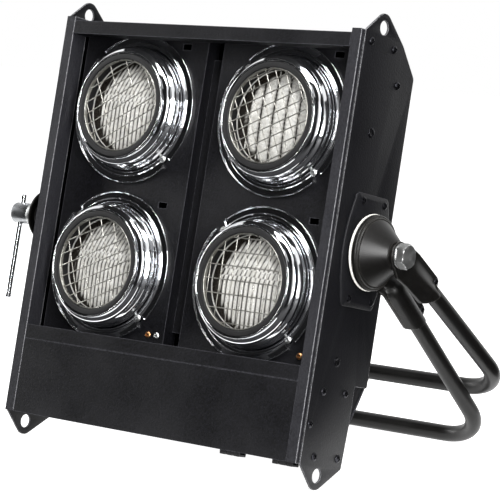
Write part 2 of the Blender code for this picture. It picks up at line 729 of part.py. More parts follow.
def lens_d(radius):
    """Return how far forwards the lens reaches at a radius near its edge."""
    share = (LAMP_RADIUS - radius) / (LAMP_RADIUS - LENS_MIDDLE_RADIUS)
    return LENS_EDGE_D + LENS_MIDDLE_CROWN * share


def sealed_beam():
    """Make the lamp: a flat crowned lens, a rim and a deep reflector bulb with an open neck."""
    bulb_radius = LAMP_RADIUS - SEAT_LIP - 2 * CLEARANCE
    bulb_end = LAMP_BACK_D - LAMP_DEPTH + LAMP_NECK_LENGTH
    outer = [
        (0, LENS_EDGE_D + LENS_CROWN),
        (LENS_MIDDLE_RADIUS, LENS_EDGE_D + LENS_MIDDLE_CROWN),
        (LAMP_RADIUS, LENS_EDGE_D),
        (LAMP_RADIUS, LAMP_BACK_D),
        (bulb_radius, LAMP_BACK_D),
    ]
    inner = []
    for share in BULB_SHARES:
        depth = LAMP_BACK_D + (bulb_end - LAMP_BACK_D) * share
        radius = LAMP_NECK_RADIUS + (bulb_radius - LAMP_NECK_RADIUS) * math.sqrt(1 - share ** 2)
        outer.append((radius, depth))
        inner.append((max(radius - LAMP_WALL, LAMP_VENT_RADIUS), depth + LAMP_WALL * share))
    outer.append((LAMP_NECK_RADIUS, bulb_end - LAMP_NECK_LENGTH))
    outer.append((LAMP_VENT_RADIUS, bulb_end - LAMP_NECK_LENGTH))
    inner.reverse()
    inner.append((bulb_radius - LAMP_WALL, LAMP_BACK_D))
    inner.append((0, LAMP_BACK_D))
    return turned(outer + inner, FORWARDS, LAMP_BULB_STEPS, ring=False)


def wire_guard():
    """Make the guard: a deep band that stands on the lens, with two crossing layers of wires at its front."""
    outer = GASKET_INNER_RADIUS * math.cos(math.pi / LAMP_STEPS) - CLEARANCE
    inner = outer - GUARD_BAND
    band = washer(outer, inner, lens_d(inner) + CLEARANCE, GUARD_FRONT_D, FORWARDS, LAMP_STEPS)
    reach = outer * math.cos(math.pi / LAMP_STEPS) - GUARD_BAND / 2
    count = int(reach / GUARD_PITCH)
    front_layer = GUARD_FRONT_D - GUARD_LAYER_STEP - GUARD_WIRE
    back_layer = front_layer - GUARD_LAYER_STEP
    layers = []
    for turn, layer_d in ((0, back_layer), (90, front_layer)):
        wires = bmesh.new()
        for index in range(-count, count + 1):
            place = index * GUARD_PITCH
            length = math.sqrt(reach ** 2 - place ** 2)
            depth = (-layer_d - GUARD_WIRE, -layer_d)
            wire = box((-length, length), depth, (place - GUARD_WIRE / 2, place + GUARD_WIRE / 2))
            wires.from_mesh(wire)
        layer = bpy.data.meshes.new("wires")
        wires.to_mesh(layer)
        wires.free()
        layer.transform(Matrix.Rotation(math.radians(turn), 4, "Y"))
        layers.append(layer)
    return combine(band, ("UNION", layers[0]), ("UNION", layers[1]))


def gasket():
    """Make the black rubber ring that holds the lamp in the bezel and the guard in its bore."""
    outer = LAMP_RADIUS + LAMP_FIT - CLEARANCE
    back = lens_d(GASKET_INNER_RADIUS) + CLEARANCE
    return washer(outer, GASKET_INNER_RADIUS, back, BEZEL_FRONT_D, FORWARDS, LAMP_STEPS)


ring_mesh = lamp_ring()
bezel_mesh = bezel()
lamp_mesh = sealed_beam()
guard_mesh = wire_guard()
gasket_mesh = gasket()
for place_name, (x, z) in LAMP_PLACES.items():
    centre = (x, TRAY_FRONT_Y - PIVOT_Y, z - PIVOT_Z)
    lamp_unit = empty("lamp_unit_" + place_name, head, centre)
    piece("lamp_ring_" + place_name, ring_mesh.copy(), CHROME, head, centre)
    piece("bezel_" + place_name, bezel_mesh.copy(), CHROME, lamp_unit)
    piece("lamp_" + place_name, lamp_mesh.copy(), LAMP_GLASS, lamp_unit)
    guard = piece("guard_" + place_name, guard_mesh.copy(), ZINC, lamp_unit)
    guard.rotation_euler = (0, math.radians(GUARD_TURN[place_name]), 0)
    piece("gasket_" + place_name, gasket_mesh.copy(), BLACK_RUBBER, lamp_unit)


# Pivot plates and the fastenings on the pivot axis. Meshes here have the axis at y = z = 0.

def on_axis(name, mesh, look):
    """Add a piece that turns with the head and is drawn about the pivot axis."""
    return piece(name, mesh, look, head)


def pivot_plate():
    """Make the plate whose sides bulge around the bore."""
    right = []
    for row in range(PIVOT_PLATE_ROWS + 1):
        z = PIVOT_PLATE_HALF_HEIGHT * (2 * row / PIVOT_PLATE_ROWS - 1)
        half = PIVOT_PLATE_HALF_END + PIVOT_PLATE_BULGE * math.cos(math.pi / 2 * z / PIVOT_PLATE_HALF_HEIGHT)
        if row in (0, PIVOT_PLATE_ROWS):
            z -= math.copysign(PIVOT_PLATE_CORNER, z)
        right.append((half, z))
    top = PIVOT_PLATE_HALF_HEIGHT
    corner = PIVOT_PLATE_HALF_END - PIVOT_PLATE_CORNER
    outline = [(corner, -top), *right, (corner, top)]
    outline += [(-y, -z) for y, z in outline]
    plate = prism(outline, HALF_WIDTH + CLEARANCE, HALF_WIDTH + PIVOT_FACE_DX, "X")
    return combine(plate, ("DIFFERENCE", rod(BOLT_BORE, 0, HEAD_WIDTH, ALONG_X, BORE_STEPS)))


def hexagon(flats):
    """Return a hexagon's outline from its width across flats."""
    return arc((0, 0), flats / math.sqrt(3), 0, 300, 5)


pair("pivot_plate", pivot_plate(), BLACK_PAINT, on_axis)

nut_x = (HALF_WIDTH + CAPTIVE_NUT_DX - CAPTIVE_NUT_LENGTH, HALF_WIDTH + CAPTIVE_NUT_DX)
nut_blank = prism(hexagon(BOLT_HEAD_FLATS), *nut_x, "X")
captive_nut = combine(nut_blank, ("DIFFERENCE", rod(BOLT_BORE, 0, HEAD_WIDTH, ALONG_X, BORE_STEPS)))
pair("captive_nut", captive_nut, ZINC, on_axis)

bolt_head_x = (HALF_WIDTH + BOLT_HEAD_DX, HALF_WIDTH + BOLT_HEAD_DX + BOLT_HEAD_HEIGHT)
bolt_head = prism(hexagon(BOLT_HEAD_FLATS), *bolt_head_x, "X")
shank = rod(BOLT_RADIUS, HALF_WIDTH + BOLT_END_DX, bolt_head_x[0] + BOLT_HEAD_HEIGHT / 2, ALONG_X, BORE_STEPS)
on_axis("pivot_bolt", combine(bolt_head, ("UNION", shank)), ZINC)

stud = rod(BOLT_RADIUS, HALF_WIDTH + BOLT_END_DX, HALF_WIDTH + STUD_END_DX, ALONG_X, BORE_STEPS)
on_axis("clamp_stud", mirrored(stud), ZINC)

collar_x = (HALF_WIDTH + BOLT_HEAD_DX, HALF_WIDTH + BOLT_HEAD_DX + COLLAR_LENGTH)
collar = washer(COLLAR_RADIUS, BOLT_BORE, *collar_x, ALONG_X, BORE_STEPS)
on_axis("clamp_collar", mirrored(collar), ZINC)


# Clamp nut on the left, with its sliding tommy bar

clamp = empty("clamp_nut_turn", head)


def clamp_nut():
    """Make the round nut: a blind bore for the stud and a cross hole for the bar."""
    low = HALF_WIDTH + CLAMP_NUT_DX
    blank = rod(CLAMP_NUT_RADIUS, low, low + CLAMP_NUT_LENGTH, ALONG_X, BORE_STEPS)
    bore = rod(BOLT_BORE, 0, HALF_WIDTH + STUD_END_DX + CLEARANCE, ALONG_X, BORE_STEPS)
    cross = rod(TOMMY_BAR_RADIUS + CLEARANCE, -HEAD_WIDTH, HEAD_WIDTH, ALONG_Z, TUBE_SIDES)
    moved(cross, HALF_WIDTH + TOMMY_BAR_DX)
    return combine(blank, ("DIFFERENCE", bore), ("DIFFERENCE", cross))


piece("clamp_nut", mirrored(clamp_nut()), CHROME, clamp)

bar_profile = [
    (0, TOMMY_BAR_LOW),
    (TOMMY_TIP_RADIUS, TOMMY_BAR_LOW),
    (TOMMY_TIP_RADIUS, TOMMY_BAR_LOW + TOMMY_TIP_LENGTH),
    (TOMMY_BAR_RADIUS, TOMMY_BAR_LOW + TOMMY_TIP_LENGTH),
    (TOMMY_BAR_RADIUS, TOMMY_BAR_HIGH),
    (0, TOMMY_BAR_HIGH),
]
tommy_bar = turned(bar_profile, ALONG_Z, TUBE_SIDES, ring=False)
piece("tommy_bar", tommy_bar, CHROME, clamp, (-HALF_WIDTH - TOMMY_BAR_DX, 0, 0))


# Yokes. Their pieces are drawn flat, with y along the arms and the pivot axis at y = z = 0.

def yoke_tube(arm_dx, start, reach, down):
    """Bend a tube into a U. One of its corner lines faces down, where the bar meets the floor."""
    arm_x = HALF_WIDTH + arm_dx
    bend_y = reach - BEND_RADIUS
    half = [(arm_x, start)]
    half += arc((arm_x - BEND_RADIUS, bend_y), BEND_RADIUS, 0, 90, BEND_STEPS)
    path = half + [(-x, y) for x, y in reversed(half)]
    points = []
    for index, (x, y) in enumerate(path):
        before = Vector(path[max(index - 1, 0)])
        after = Vector(path[min(index + 1, len(path) - 1)])
        heading = (after - before).normalized()
        side = Vector((heading.y, -heading.x, 0))
        for step in range(TUBE_SIDES):
            angle = down + 2 * math.pi * step / TUBE_SIDES
            offset = side * math.cos(angle) + Vector((0, 0, math.sin(angle)))
            points.append(Vector((x, y, 0)) + offset * TUBE_RADIUS)
    faces = [list(range(TUBE_SIDES)), list(range(len(points) - TUBE_SIDES, len(points)))]
    for row in range(len(path) - 1):
        for step in range(TUBE_SIDES):
            after = (step + 1) % TUBE_SIDES
            a, b = row * TUBE_SIDES + step, row * TUBE_SIDES + after
            faces.append([a, b, b + TUBE_SIDES, a + TUBE_SIDES])
    return closed_mesh(points, faces)


def bracket(eye_dx, arm_dx, joggle, start, length):
    """Make the pressed bracket: an eye on the axis, a joggle, and a hump over the tube's end."""
    x_eye = HALF_WIDTH + eye_dx
    x_arm = HALF_WIDTH + arm_dx - BRACKET_THICKNESS / 2
    near = -2 * BRACKET_HALF_WIDTH
    far = 2 * length
    side_view = [
        (x_eye, near),
        (x_eye + BRACKET_THICKNESS, near),
        (x_eye + BRACKET_THICKNESS, joggle[0]),
        (x_arm + BRACKET_THICKNESS, joggle[1]),
        (x_arm + BRACKET_THICKNESS, far),
        (x_arm, far),
        (x_arm, joggle[1]),
        (x_eye, joggle[0]),
    ]
    strip = prism(side_view, -2 * BRACKET_HALF_WIDTH, 2 * BRACKET_HALF_WIDTH, "Z")
    corner = BRACKET_HALF_WIDTH - BRACKET_CORNER
    outline = [
        *arc((0, 0), BRACKET_HALF_WIDTH, 90, 270, 8),
        *arc((length - BRACKET_CORNER, -corner), BRACKET_CORNER, -90, 0, 2),
        *arc((length - BRACKET_CORNER, corner), BRACKET_CORNER, 0, 90, 2),
    ]
    blank = prism(outline, x_eye - BRACKET_THICKNESS, x_arm + 2 * BRACKET_THICKNESS, "X")
    hump_radius = TUBE_RADIUS + HUMP_WALL
    dome_y = start - HUMP_LEAD
    hump_profile = [(0, dome_y - hump_radius)]
    for angle in (30, 60, 90):
        turn = math.radians(angle)
        hump_profile.append((hump_radius * math.sin(turn), dome_y - hump_radius * math.cos(turn)))
    hump_profile += [(hump_radius, length - CLEARANCE), (0, length - CLEARANCE)]
    hump = moved(turned(hump_profile, ALONG_Y, TUBE_SIDES, ring=False), HALF_WIDTH + arm_dx)
    tube_bore = rod(TUBE_RADIUS + 2 * CLEARANCE, start - CLEARANCE, 2 * length, ALONG_Y, BORE_STEPS)
    moved(tube_bore, HALF_WIDTH + arm_dx)
    bolt_bore = rod(BOLT_BORE, 0, 2 * HEAD_WIDTH, ALONG_X, BORE_STEPS)
    steps = [("INTERSECT", blank), ("UNION", hump), ("DIFFERENCE", tube_bore), ("DIFFERENCE", bolt_bore)]
    return combine(strip, *steps)


def clear_of_pivot_plate(mesh):
    """Cut away what would touch the pivot plate as the head tilts."""
    reach = math.hypot(PIVOT_PLATE_HALF_END, PIVOT_PLATE_HALF_HEIGHT) + KEEP_OUT
    swept = rod(reach, HALF_WIDTH, HALF_WIDTH + INNER_EYE_DX, ALONG_X, HUB_STEPS)
    return combine(mesh, ("DIFFERENCE", swept))


def on_stand(name, mesh, look):
    """Add a piece of the floor stand."""
    return piece(name, mesh, look, floor_stand)


def on_outer_yoke(name, mesh, look):
    """Add a piece of the outer yoke."""
    return piece(name, mesh, look, outer_yoke)


inner_tube = yoke_tube(INNER_ARM_DX, INNER_TUBE_START, INNER_REACH, INNER_DROP - math.pi / 2)
on_stand("inner_yoke_tube", inner_tube, BLACK_PAINT)
inner_bracket = bracket(INNER_EYE_DX, INNER_ARM_DX, INNER_JOGGLE, INNER_TUBE_START, INNER_BRACKET_LENGTH)
pair("inner_bracket", clear_of_pivot_plate(inner_bracket), BLACK_PAINT, on_stand)

friction_washer_x = (HALF_WIDTH + WASHER_DX, HALF_WIDTH + WASHER_DX + WASHER_THICKNESS)
friction_washer = washer(WASHER_RADIUS, BOLT_BORE, *friction_washer_x, ALONG_X, HUB_STEPS)
pair("friction_washer", friction_washer, WHITE_NYLON, on_stand)

cone_x = HALF_WIDTH + CONE_DX
cone_profile = [
    (BOLT_BORE, cone_x),
    (CONE_RADIUS, cone_x),
    (CONE_RADIUS, cone_x + CONE_RIM),
    (CONE_TIP_RADIUS, cone_x + CONE_HEIGHT),
    (BOLT_BORE, cone_x + CONE_HEIGHT),
]
pair("hub_cone", turned(cone_profile, ALONG_X, HUB_STEPS), BLACK_PAINT, on_stand)

outer_tube = yoke_tube(OUTER_ARM_DX, OUTER_TUBE_START, OUTER_REACH, 0.0)
on_outer_yoke("outer_yoke_tube", outer_tube, BLACK_PAINT)
outer_bracket = bracket(OUTER_EYE_DX, OUTER_ARM_DX, OUTER_JOGGLE, OUTER_TUBE_START, OUTER_BRACKET_LENGTH)
pair("outer_bracket", outer_bracket, BLACK_PAINT, on_outer_yoke)


# Sockets on the slanted panel, and the electrical pieces on the chassis

def socket():
    """Make a round locking socket: a flange, a barrel behind it and an open hollow."""
    width, height, thickness = SOCKET_FLANGE
    flange = box((-width / 2, width / 2), (CLEARANCE, CLEARANCE + thickness), (-height / 2, height / 2))
    middle = CLEARANCE + thickness / 2
    barrel = rod(SOCKET_BARREL_RADIUS, -SOCKET_BARREL_LENGTH, middle, ALONG_Y, SOCKET_STEPS)
    hollow = rod(SOCKET_HOLLOW_RADIUS, -SOCKET_HOLLOW_DEPTH, 2 * thickness, ALONG_Y, SOCKET_STEPS)
    return combine(flange, ("UNION", barrel), ("DIFFERENCE", hollow))


for name, x in SOCKET_X.items():
    head_piece(name, on_slant(socket(), x), BLACK_PLASTIC)

CHASSIS_TOP = COVER_SHEET + CLEARANCE


def dimmer_outline():
    """Return the finned heat sink's (y, z) outline."""
    fin_step = (DIMMER_Y[1] - DIMMER_Y[0]) / (2 * DIMMER_FINS - 1)
    base_top = CHASSIS_TOP + DIMMER_BASE_HEIGHT
    top = CHASSIS_TOP + DIMMER_HEIGHT
    outline = [(DIMMER_Y[1], CHASSIS_TOP), (DIMMER_Y[0], CHASSIS_TOP)]
    for fin in range(DIMMER_FINS):
        y = DIMMER_Y[0] + 2 * fin * fin_step
        if fin > 0:
            outline.append((y, base_top))
        outline += [(y, top), (y + fin_step, top)]
        if fin < DIMMER_FINS - 1:
            outline.append((y + fin_step, base_top))
    return outline


head_piece("dimmer_module", prism(dimmer_outline(), *DIMMER_X, "X"), BARE_METAL)
terminal_block = box(TERMINAL_X, TERMINAL_Y, (CHASSIS_TOP, CHASSIS_TOP + TERMINAL_HEIGHT))
head_piece("terminal_block", terminal_block, WHITE_NYLON)


# Stand the whole part with the middle of its outer box over the origin

def world_limits():
    """Return the lowest and highest corner of all pieces."""
    bpy.context.view_layer.update()
    corners = []
    for obj in scene.objects:
        if obj.type == "MESH":
            corners += [obj.matrix_world @ vertex.co for vertex in obj.data.vertices]
    low = Vector([min(corner[axis] for corner in corners) for axis in range(3)])
    high = Vector([max(corner[axis] for corner in corners) for axis in range(3)])
    return low, high


low_corner, high_corner = world_limits()
blinder.location = (-(low_corner.x + high_corner.x) / 2, -(low_corner.y + high_corner.y) / 2, -low_corner.z)
bpy.context.view_layer.update()
print("part size", [round(value, 4) for value in high_corner - low_corner])
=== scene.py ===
# %% [markdown]
# # A four-lamp audience blinder
# The real object is a flat steel head with four sealed beam lamps. It leans back between two tube
# yokes that fold out to make a floor stand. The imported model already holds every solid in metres,
# so this script only gives it its looks: smoother meshes, small fastenings and real finishes.

import json
import math

import bmesh
import bpy
from mathutils import Matrix, Vector


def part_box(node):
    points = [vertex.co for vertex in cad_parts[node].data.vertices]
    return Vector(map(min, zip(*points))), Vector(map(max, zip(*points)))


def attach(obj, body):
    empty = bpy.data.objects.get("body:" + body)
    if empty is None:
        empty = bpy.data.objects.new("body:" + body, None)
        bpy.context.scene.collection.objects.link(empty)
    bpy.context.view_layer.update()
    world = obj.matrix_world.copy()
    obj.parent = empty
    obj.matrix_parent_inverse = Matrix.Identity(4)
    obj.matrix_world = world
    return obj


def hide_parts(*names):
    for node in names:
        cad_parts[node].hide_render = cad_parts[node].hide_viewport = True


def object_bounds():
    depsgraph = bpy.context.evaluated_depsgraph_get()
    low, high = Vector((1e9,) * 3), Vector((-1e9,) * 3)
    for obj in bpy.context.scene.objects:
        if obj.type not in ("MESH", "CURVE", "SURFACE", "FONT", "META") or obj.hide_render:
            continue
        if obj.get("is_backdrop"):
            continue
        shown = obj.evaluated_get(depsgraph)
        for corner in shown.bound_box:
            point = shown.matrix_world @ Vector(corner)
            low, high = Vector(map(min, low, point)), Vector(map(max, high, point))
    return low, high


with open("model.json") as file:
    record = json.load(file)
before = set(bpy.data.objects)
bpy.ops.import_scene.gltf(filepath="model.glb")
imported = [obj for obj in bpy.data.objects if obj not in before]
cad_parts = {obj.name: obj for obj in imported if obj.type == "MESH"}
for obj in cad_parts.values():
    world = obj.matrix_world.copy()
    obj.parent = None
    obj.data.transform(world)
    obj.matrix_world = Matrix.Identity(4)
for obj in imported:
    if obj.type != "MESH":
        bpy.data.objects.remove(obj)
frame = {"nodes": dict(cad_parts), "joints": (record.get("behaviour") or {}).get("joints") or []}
cad_low, cad_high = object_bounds()
joints = {joint["name"]: joint for joint in frame["joints"]}

# %% [markdown]
# ## Where things are
# Every shape below is drawn in millimetres, in the head's own upright frame: x to the right, y to
# the back, z up, with z = 0 at the foot of the side plates. One matrix then leans it and scales it
# to metres. The joints give the pivot and the head's up direction, so nothing is measured twice.

# %% Frames of the head, the lamps and the pivot axis
TO_METRES = Matrix.Scale(0.001, 4)
PIVOT_Y, PIVOT_Z = 60.5, 227.4
pivot = Vector(joints["head_tilt"]["pos_m"])
head_up = Vector(joints["tommy_bar_slide"]["axis"]).normalized()
RIGHT = Vector((1, 0, 0))
head_back = head_up.cross(RIGHT)
HEAD_TURN = Matrix((RIGHT, head_back, head_up)).transposed().to_4x4()
ABOUT_PIVOT = Matrix.Translation(pivot) @ HEAD_TURN @ TO_METRES
HEAD = ABOUT_PIVOT @ Matrix.Translation((0, -PIVOT_Y, -PIVOT_Z))

FACE_FRONT = Matrix.Rotation(math.radians(90), 4, "X")
FACE_RIGHT = Matrix(((0, 0, 1, 0), (1, 0, 0, 0), (0, 1, 0, 0), (0, 0, 0, 1)))

LAMPS = ("TL", "TR", "BL", "BR")
lamp_place = {}
for lamp in LAMPS:
    centre = Vector(joints["lamp_swivel_" + lamp]["pos_m"])
    lamp_place[lamp] = Matrix.Translation(centre) @ HEAD_TURN @ TO_METRES @ FACE_FRONT

HALF_WIDTH = (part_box("side_plate_R")[1].x - pivot.x) * 1000
MIRRORS = {"R": Matrix.Identity(4), "L": Matrix.Diagonal((-1, 1, 1, 1))}
OUTSIDE = {side: mirror @ Matrix.Translation((HALF_WIDTH, 0, 0)) for side, mirror in MIRRORS.items()}
lean = math.degrees(head_back.angle(Vector((0, 1, 0))))
print("half width", round(HALF_WIDTH, 2), "lean", round(lean, 2))

# %% [markdown]
# ## Tools for the finishes
# A shader tree is a list of nodes with settings and links. One small function that adds a node is
# enough to write any of them, and it reads like the tree itself. Its inputs are sockets with a
# value or a link: a map range takes the value, the span it comes from and the span it goes to, and
# a colour mix takes its share as socket 0 and its colours as sockets 6 and 7.


def linear(code):
    """Turn an sRGB hex colour into the linear colour that the shaders work in."""
    channels = []
    for place in (0, 2, 4):
        value = int(code[place:place + 2], 16) / 255
        channels.append(value / 12.92 if value <= 0.04045 else ((value + 0.055) / 1.055) ** 2.4)
    return (*channels, 1.0)


def feed(tree, node, inputs):
    """Give a node's sockets their values or links."""
    for socket, value in inputs.items():
        if isinstance(value, bpy.types.NodeSocket):
            tree.links.new(value, node.inputs[socket])
        else:
            node.inputs[socket].default_value = value


def add(tree, kind, inputs=(), output=0, **settings):
    """Add a node with its settings, feed its sockets, and return one of its outputs."""
    node = tree.nodes.new(kind)
    for name, value in settings.items():
        setattr(node, name, value)
    feed(tree, node, dict(inputs))
    return node.outputs[output]


def new_finish(name, slot, **constants):
    """Start a material: its tree, its Principled shader and its object coordinates."""
    material = bpy.data.materials.new(name)
    material.use_nodes = True
    tree = material.node_tree
    shader = tree.nodes["Principled BSDF"]
    feed(tree, shader, {socket.replace("_", " "): value for socket, value in constants.items()})
    return material, tree, shader, add(tree, "ShaderNodeTexCoord", output="Object")


print("a mid grey is", round(linear("808080")[0], 3), "in linear light")

# %% [markdown]
# ## Textured powder coat on folded steel
# The sheet parts are powder coated: dry paint grains melt together in an oven and leave a fine
# orange-peel skin. The eye reads it as a soft dark grey with tiny sparkles, a shade bluer than
# neutral, a little smoother on its edges. The edges are also painted lighter: partly paint rubbed
# by hands and cases, partly a painted highlight that stands for the light along the folds. A grain
# of 2.2 mm is coarser than the real 0.5 mm, because the real one is below one pixel here. The side
# plates' edges get a paler painted highlight than the covers'. The stiles' coat is a painted lit
# copy of the black, lighter all over, with the painted edge highlight only on edges that face
# right, towards the key light. The yokes have a smoother satin coat.

# %% Powder coat
EDGE_MASK_RADIUS_MM, EDGE_MASK_STARTS, EDGE_MASK_FULL = 1.6, 0.01, 0.2
CLOUD_MM = 60


def rubbed_and_highlit_edges(tree, one_side):
    """Return 1 on edges, or those that face right, where the rounded normal leaves the true one."""
    rounded_normal = add(tree, "ShaderNodeBevel", {"Radius": EDGE_MASK_RADIUS_MM / 1000}, samples=4)
    true_normal = add(tree, "ShaderNodeNewGeometry", output="Normal")
    normals = {0: rounded_normal, 1: true_normal}
    dot = add(tree, "ShaderNodeVectorMath", normals, "Value", operation="DOT_PRODUCT")
    edge = add(tree, "ShaderNodeMapRange", {0: dot, 1: 1 - EDGE_MASK_STARTS, 2: 1 - EDGE_MASK_FULL})
    if not one_side:
        return edge
    # Painted highlight: only the edges that face right, towards the key light, keep their lightening.
    x = add(tree, "ShaderNodeSeparateXYZ", {0: rounded_normal})
    highlight_facing_right = add(tree, "ShaderNodeMapRange", {0: x, 1: 0.1, 2: 0.3})
    return add(tree, "ShaderNodeMath", {0: edge, 1: highlight_facing_right}, operation="MULTIPLY")


def powder_coat(name, colours, roughness, grain_mm, depth_mm, one_side=False):
    """A baked black coat: speckled colour, orange peel bump, and edges painted lighter for rubbed paint and
    as a painted highlight.
    """
    material, tree, shader, place = new_finish(name, "black_paint", IOR=1.37)
    dark, light, rub = [linear(code) for code in colours]
    grain = add(tree, "ShaderNodeTexNoise", {"Vector": place, "Scale": 1000 / grain_mm, "Detail": 3.0})
    cloud = add(tree, "ShaderNodeTexNoise", {"Vector": place, "Scale": 1000 / CLOUD_MM, "Detail": 3.0})
    speckle = add(tree, "ShaderNodeMapRange", {0: grain, 1: 0.35, 2: 0.68})
    body = add(tree, "ShaderNodeMix", {0: speckle, 6: dark, 7: light}, 2, data_type="RGBA")
    haze = add(tree, "ShaderNodeMapRange", {0: cloud, 1: 0.35, 2: 0.7, 4: 0.35})
    tint = add(tree, "ShaderNodeMix", {0: haze, 6: body, 7: light}, 2, data_type="RGBA")
    edge = rubbed_and_highlit_edges(tree, one_side)
    gaps = add(tree, "ShaderNodeMapRange", {0: grain, 1: 0.3, 2: 0.6, 3: 0.35})
    broken = add(tree, "ShaderNodeMath", {0: edge, 1: gaps}, operation="MULTIPLY")
    # Painted highlight in part: the edge colour stands both for rubbed paint and for the light along the
    # folds.
    colour = add(tree, "ShaderNodeMix", {0: broken, 6: tint, 7: rub}, 2, data_type="RGBA")
    low, high = roughness - 0.05, roughness + 0.06
    soft = add(tree, "ShaderNodeMapRange", {0: cloud, 1: 0.3, 2: 0.7, 3: low, 4: high})
    smooth = add(tree, "ShaderNodeMath", {0: edge, 1: -0.12, 2: soft}, operation="MULTIPLY_ADD")
    peel = add(tree, "ShaderNodeBump", {"Height": grain, "Distance": depth_mm / 1000, "Strength": 0.8})
    feed(tree, shader, {"Base Color": colour, "Roughness": smooth, "Normal": peel})
    return material


BLACKS = ("040405", "111115")
powder_black = powder_coat("powder_coated_steel", (*BLACKS, "48484d"), 0.44, 2.2, 0.3)
# Painted highlight in part: the side plates' edges go pale grey, both for rubbed paint and for the light
# along their cut edges.
powder_worn_and_highlit = powder_coat("powder_coat_with_rubbed_and_highlit_folds", (*BLACKS, "b4b4b8"), 0.44, 2.2, 0.3)
# Painted light: the stile colours are a lighter copy of the black coat, for the light that the stiles catch,
# with a painted highlight on their right-facing edges.
STILE_PAINTED_LIT_COLOURS, YOKE_COLOURS = ("18181b", "28282c", "b4b4b8"), ("070605", "0f0e0d", "5c5a56")
powder_stile = powder_coat("powder_coat_painted_lit_with_right_edge_highlights", STILE_PAINTED_LIT_COLOURS, 0.44, 2.2, 0.3, True)
yoke_black = powder_coat("satin_powder_coated_tube", YOKE_COLOURS, 0.36, 3.5, 0.05)

# %% [markdown]
# ## Chrome, zinc and other plating
# Plated steel is all reflection: a metal has no colour of its own beyond the tint of what it
# mirrors. Chrome is the mirror, with faint wipe marks. Zinc is duller and bluish, duller still on
# turned parts and wire, and some screws have the yellow passivation that makes them look like
# brass, others a black one. The aluminium of the dimmer's case is bare, with a mill finish.

# %% Plated metals
def plated(name, slot, colour, dull_colour, roughness, smear_mm, depth_mm):
    """A plated metal with smears in its roughness and a very shallow waviness."""
    material, tree, shader, place = new_finish(name, slot, Metallic=1.0)
    smear = add(tree, "ShaderNodeTexNoise", {"Vector": place, "Scale": 1000 / smear_mm, "Detail": 4.0})
    fine = add(tree, "ShaderNodeTexNoise", {"Vector": place, "Scale": 8000 / smear_mm, "Detail": 2.0})
    share = add(tree, "ShaderNodeMapRange", {0: smear, 1: 0.4, 2: 0.75})
    mixed = {0: share, 6: linear(colour), 7: linear(dull_colour)}
    tint = add(tree, "ShaderNodeMix", mixed, 2, data_type="RGBA")
    span = {0: smear, 1: 0.35, 2: 0.75, 3: roughness, 4: roughness * 2.2}
    wiped = add(tree, "ShaderNodeMapRange", span)
    waves = add(tree, "ShaderNodeBump", {"Height": fine, "Distance": depth_mm / 1000, "Strength": 0.4})
    feed(tree, shader, {"Base Color": tint, "Roughness": wiped, "Normal": waves})
    return material


chrome = plated("chrome_plated_steel", "chrome", "f2f3f5", "dcdee2", 0.05, 40, 0.0015)
zinc = plated("zinc_plated_steel", "zinc", "cfd0cf", "a3a4a3", 0.28, 9, 0.01)
turned_zinc = plated("turned_zinc_plated_steel", "zinc", "a2a4a6", "7b7d80", 0.22, 9, 0.01)
wire_zinc = plated("galvanised_wire", "zinc", "b9b8b2", "77746c", 0.26, 7, 0.01)
brass = plated("yellow_passivated_screw", "brass", "c79a6c", "8f6444", 0.24, 4, 0.01)
screw_black = plated("blackened_steel_screw", "black_paint", "3c3c40", "222225", 0.24, 3, 0.01)
mill_aluminium = plated("mill_finish_aluminium", "bare_metal", "b4b5b8", "8e9094", 0.34, 6, 0.02)

# %% [markdown]
# ## Nylon, rubber and moulded plastic
# These carry their colour through and through. Nylon is milky and slightly soft, rubber is nearly
# black with dust in its pores, and moulded plastic has the fine grain of its tool.

# %% Plastics and rubber
DUST_MM = 25


def moulded(name, slot, colour, dust, roughness, grain_mm, depth_mm, ior):
    """A moulded plastic or rubber with patches of dust on the fine grain of its tool."""
    material, tree, shader, place = new_finish(name, slot, IOR=ior)
    grain = add(tree, "ShaderNodeTexNoise", {"Vector": place, "Scale": 1000 / grain_mm, "Detail": 2.0})
    patches = add(tree, "ShaderNodeTexNoise", {"Vector": place, "Scale": 1000 / DUST_MM, "Detail": 4.0})
    share = add(tree, "ShaderNodeMapRange", {0: patches, 1: 0.45, 2: 0.8})
    tint = add(tree, "ShaderNodeMix", {0: share, 6: linear(colour), 7: linear(dust)}, 2, data_type="RGBA")
    span = {0: grain, 1: 0.3, 2: 0.7, 3: roughness, 4: roughness + 0.12}
    uneven = add(tree, "ShaderNodeMapRange", span)
    skin = add(tree, "ShaderNodeBump", {"Height": grain, "Distance": depth_mm / 1000, "Strength": 0.5})
    feed(tree, shader, {"Base Color": tint, "Roughness": uneven, "Normal": skin})
    return material


nylon = moulded("moulded_white_nylon", "white_nylon", "e4e2dc", "c9c5bb", 0.42, 2.0, 0.03, 1.53)
rubber = moulded("moulded_black_rubber", "black_rubber", "0a0a0b", "151516", 0.5, 1.2, 0.04, 1.5)
socket_plastic = moulded("moulded_black_nylon", "black_plastic", "18181a", "232326", 0.45, 1.0, 0.03, 1.53)

# %% [markdown]
# ## The sealed beam lamp
# The lamp's lens is pressed glass with rows of flutes on its inside, in front of an aluminised
# reflector. What the eye sees is a bright metal-like relief under clear glass: pale where the
# flutes face the light and brown-grey in the hollows between them. The relief is real geometry
# here, and a vertex attribute called valley paints shade into its low lines and into a crescent
# at the left rim.

# %% Pressed glass over a reflector
RIPPLE_MM, RIPPLE_DEPTH_MM = 5, 0.15


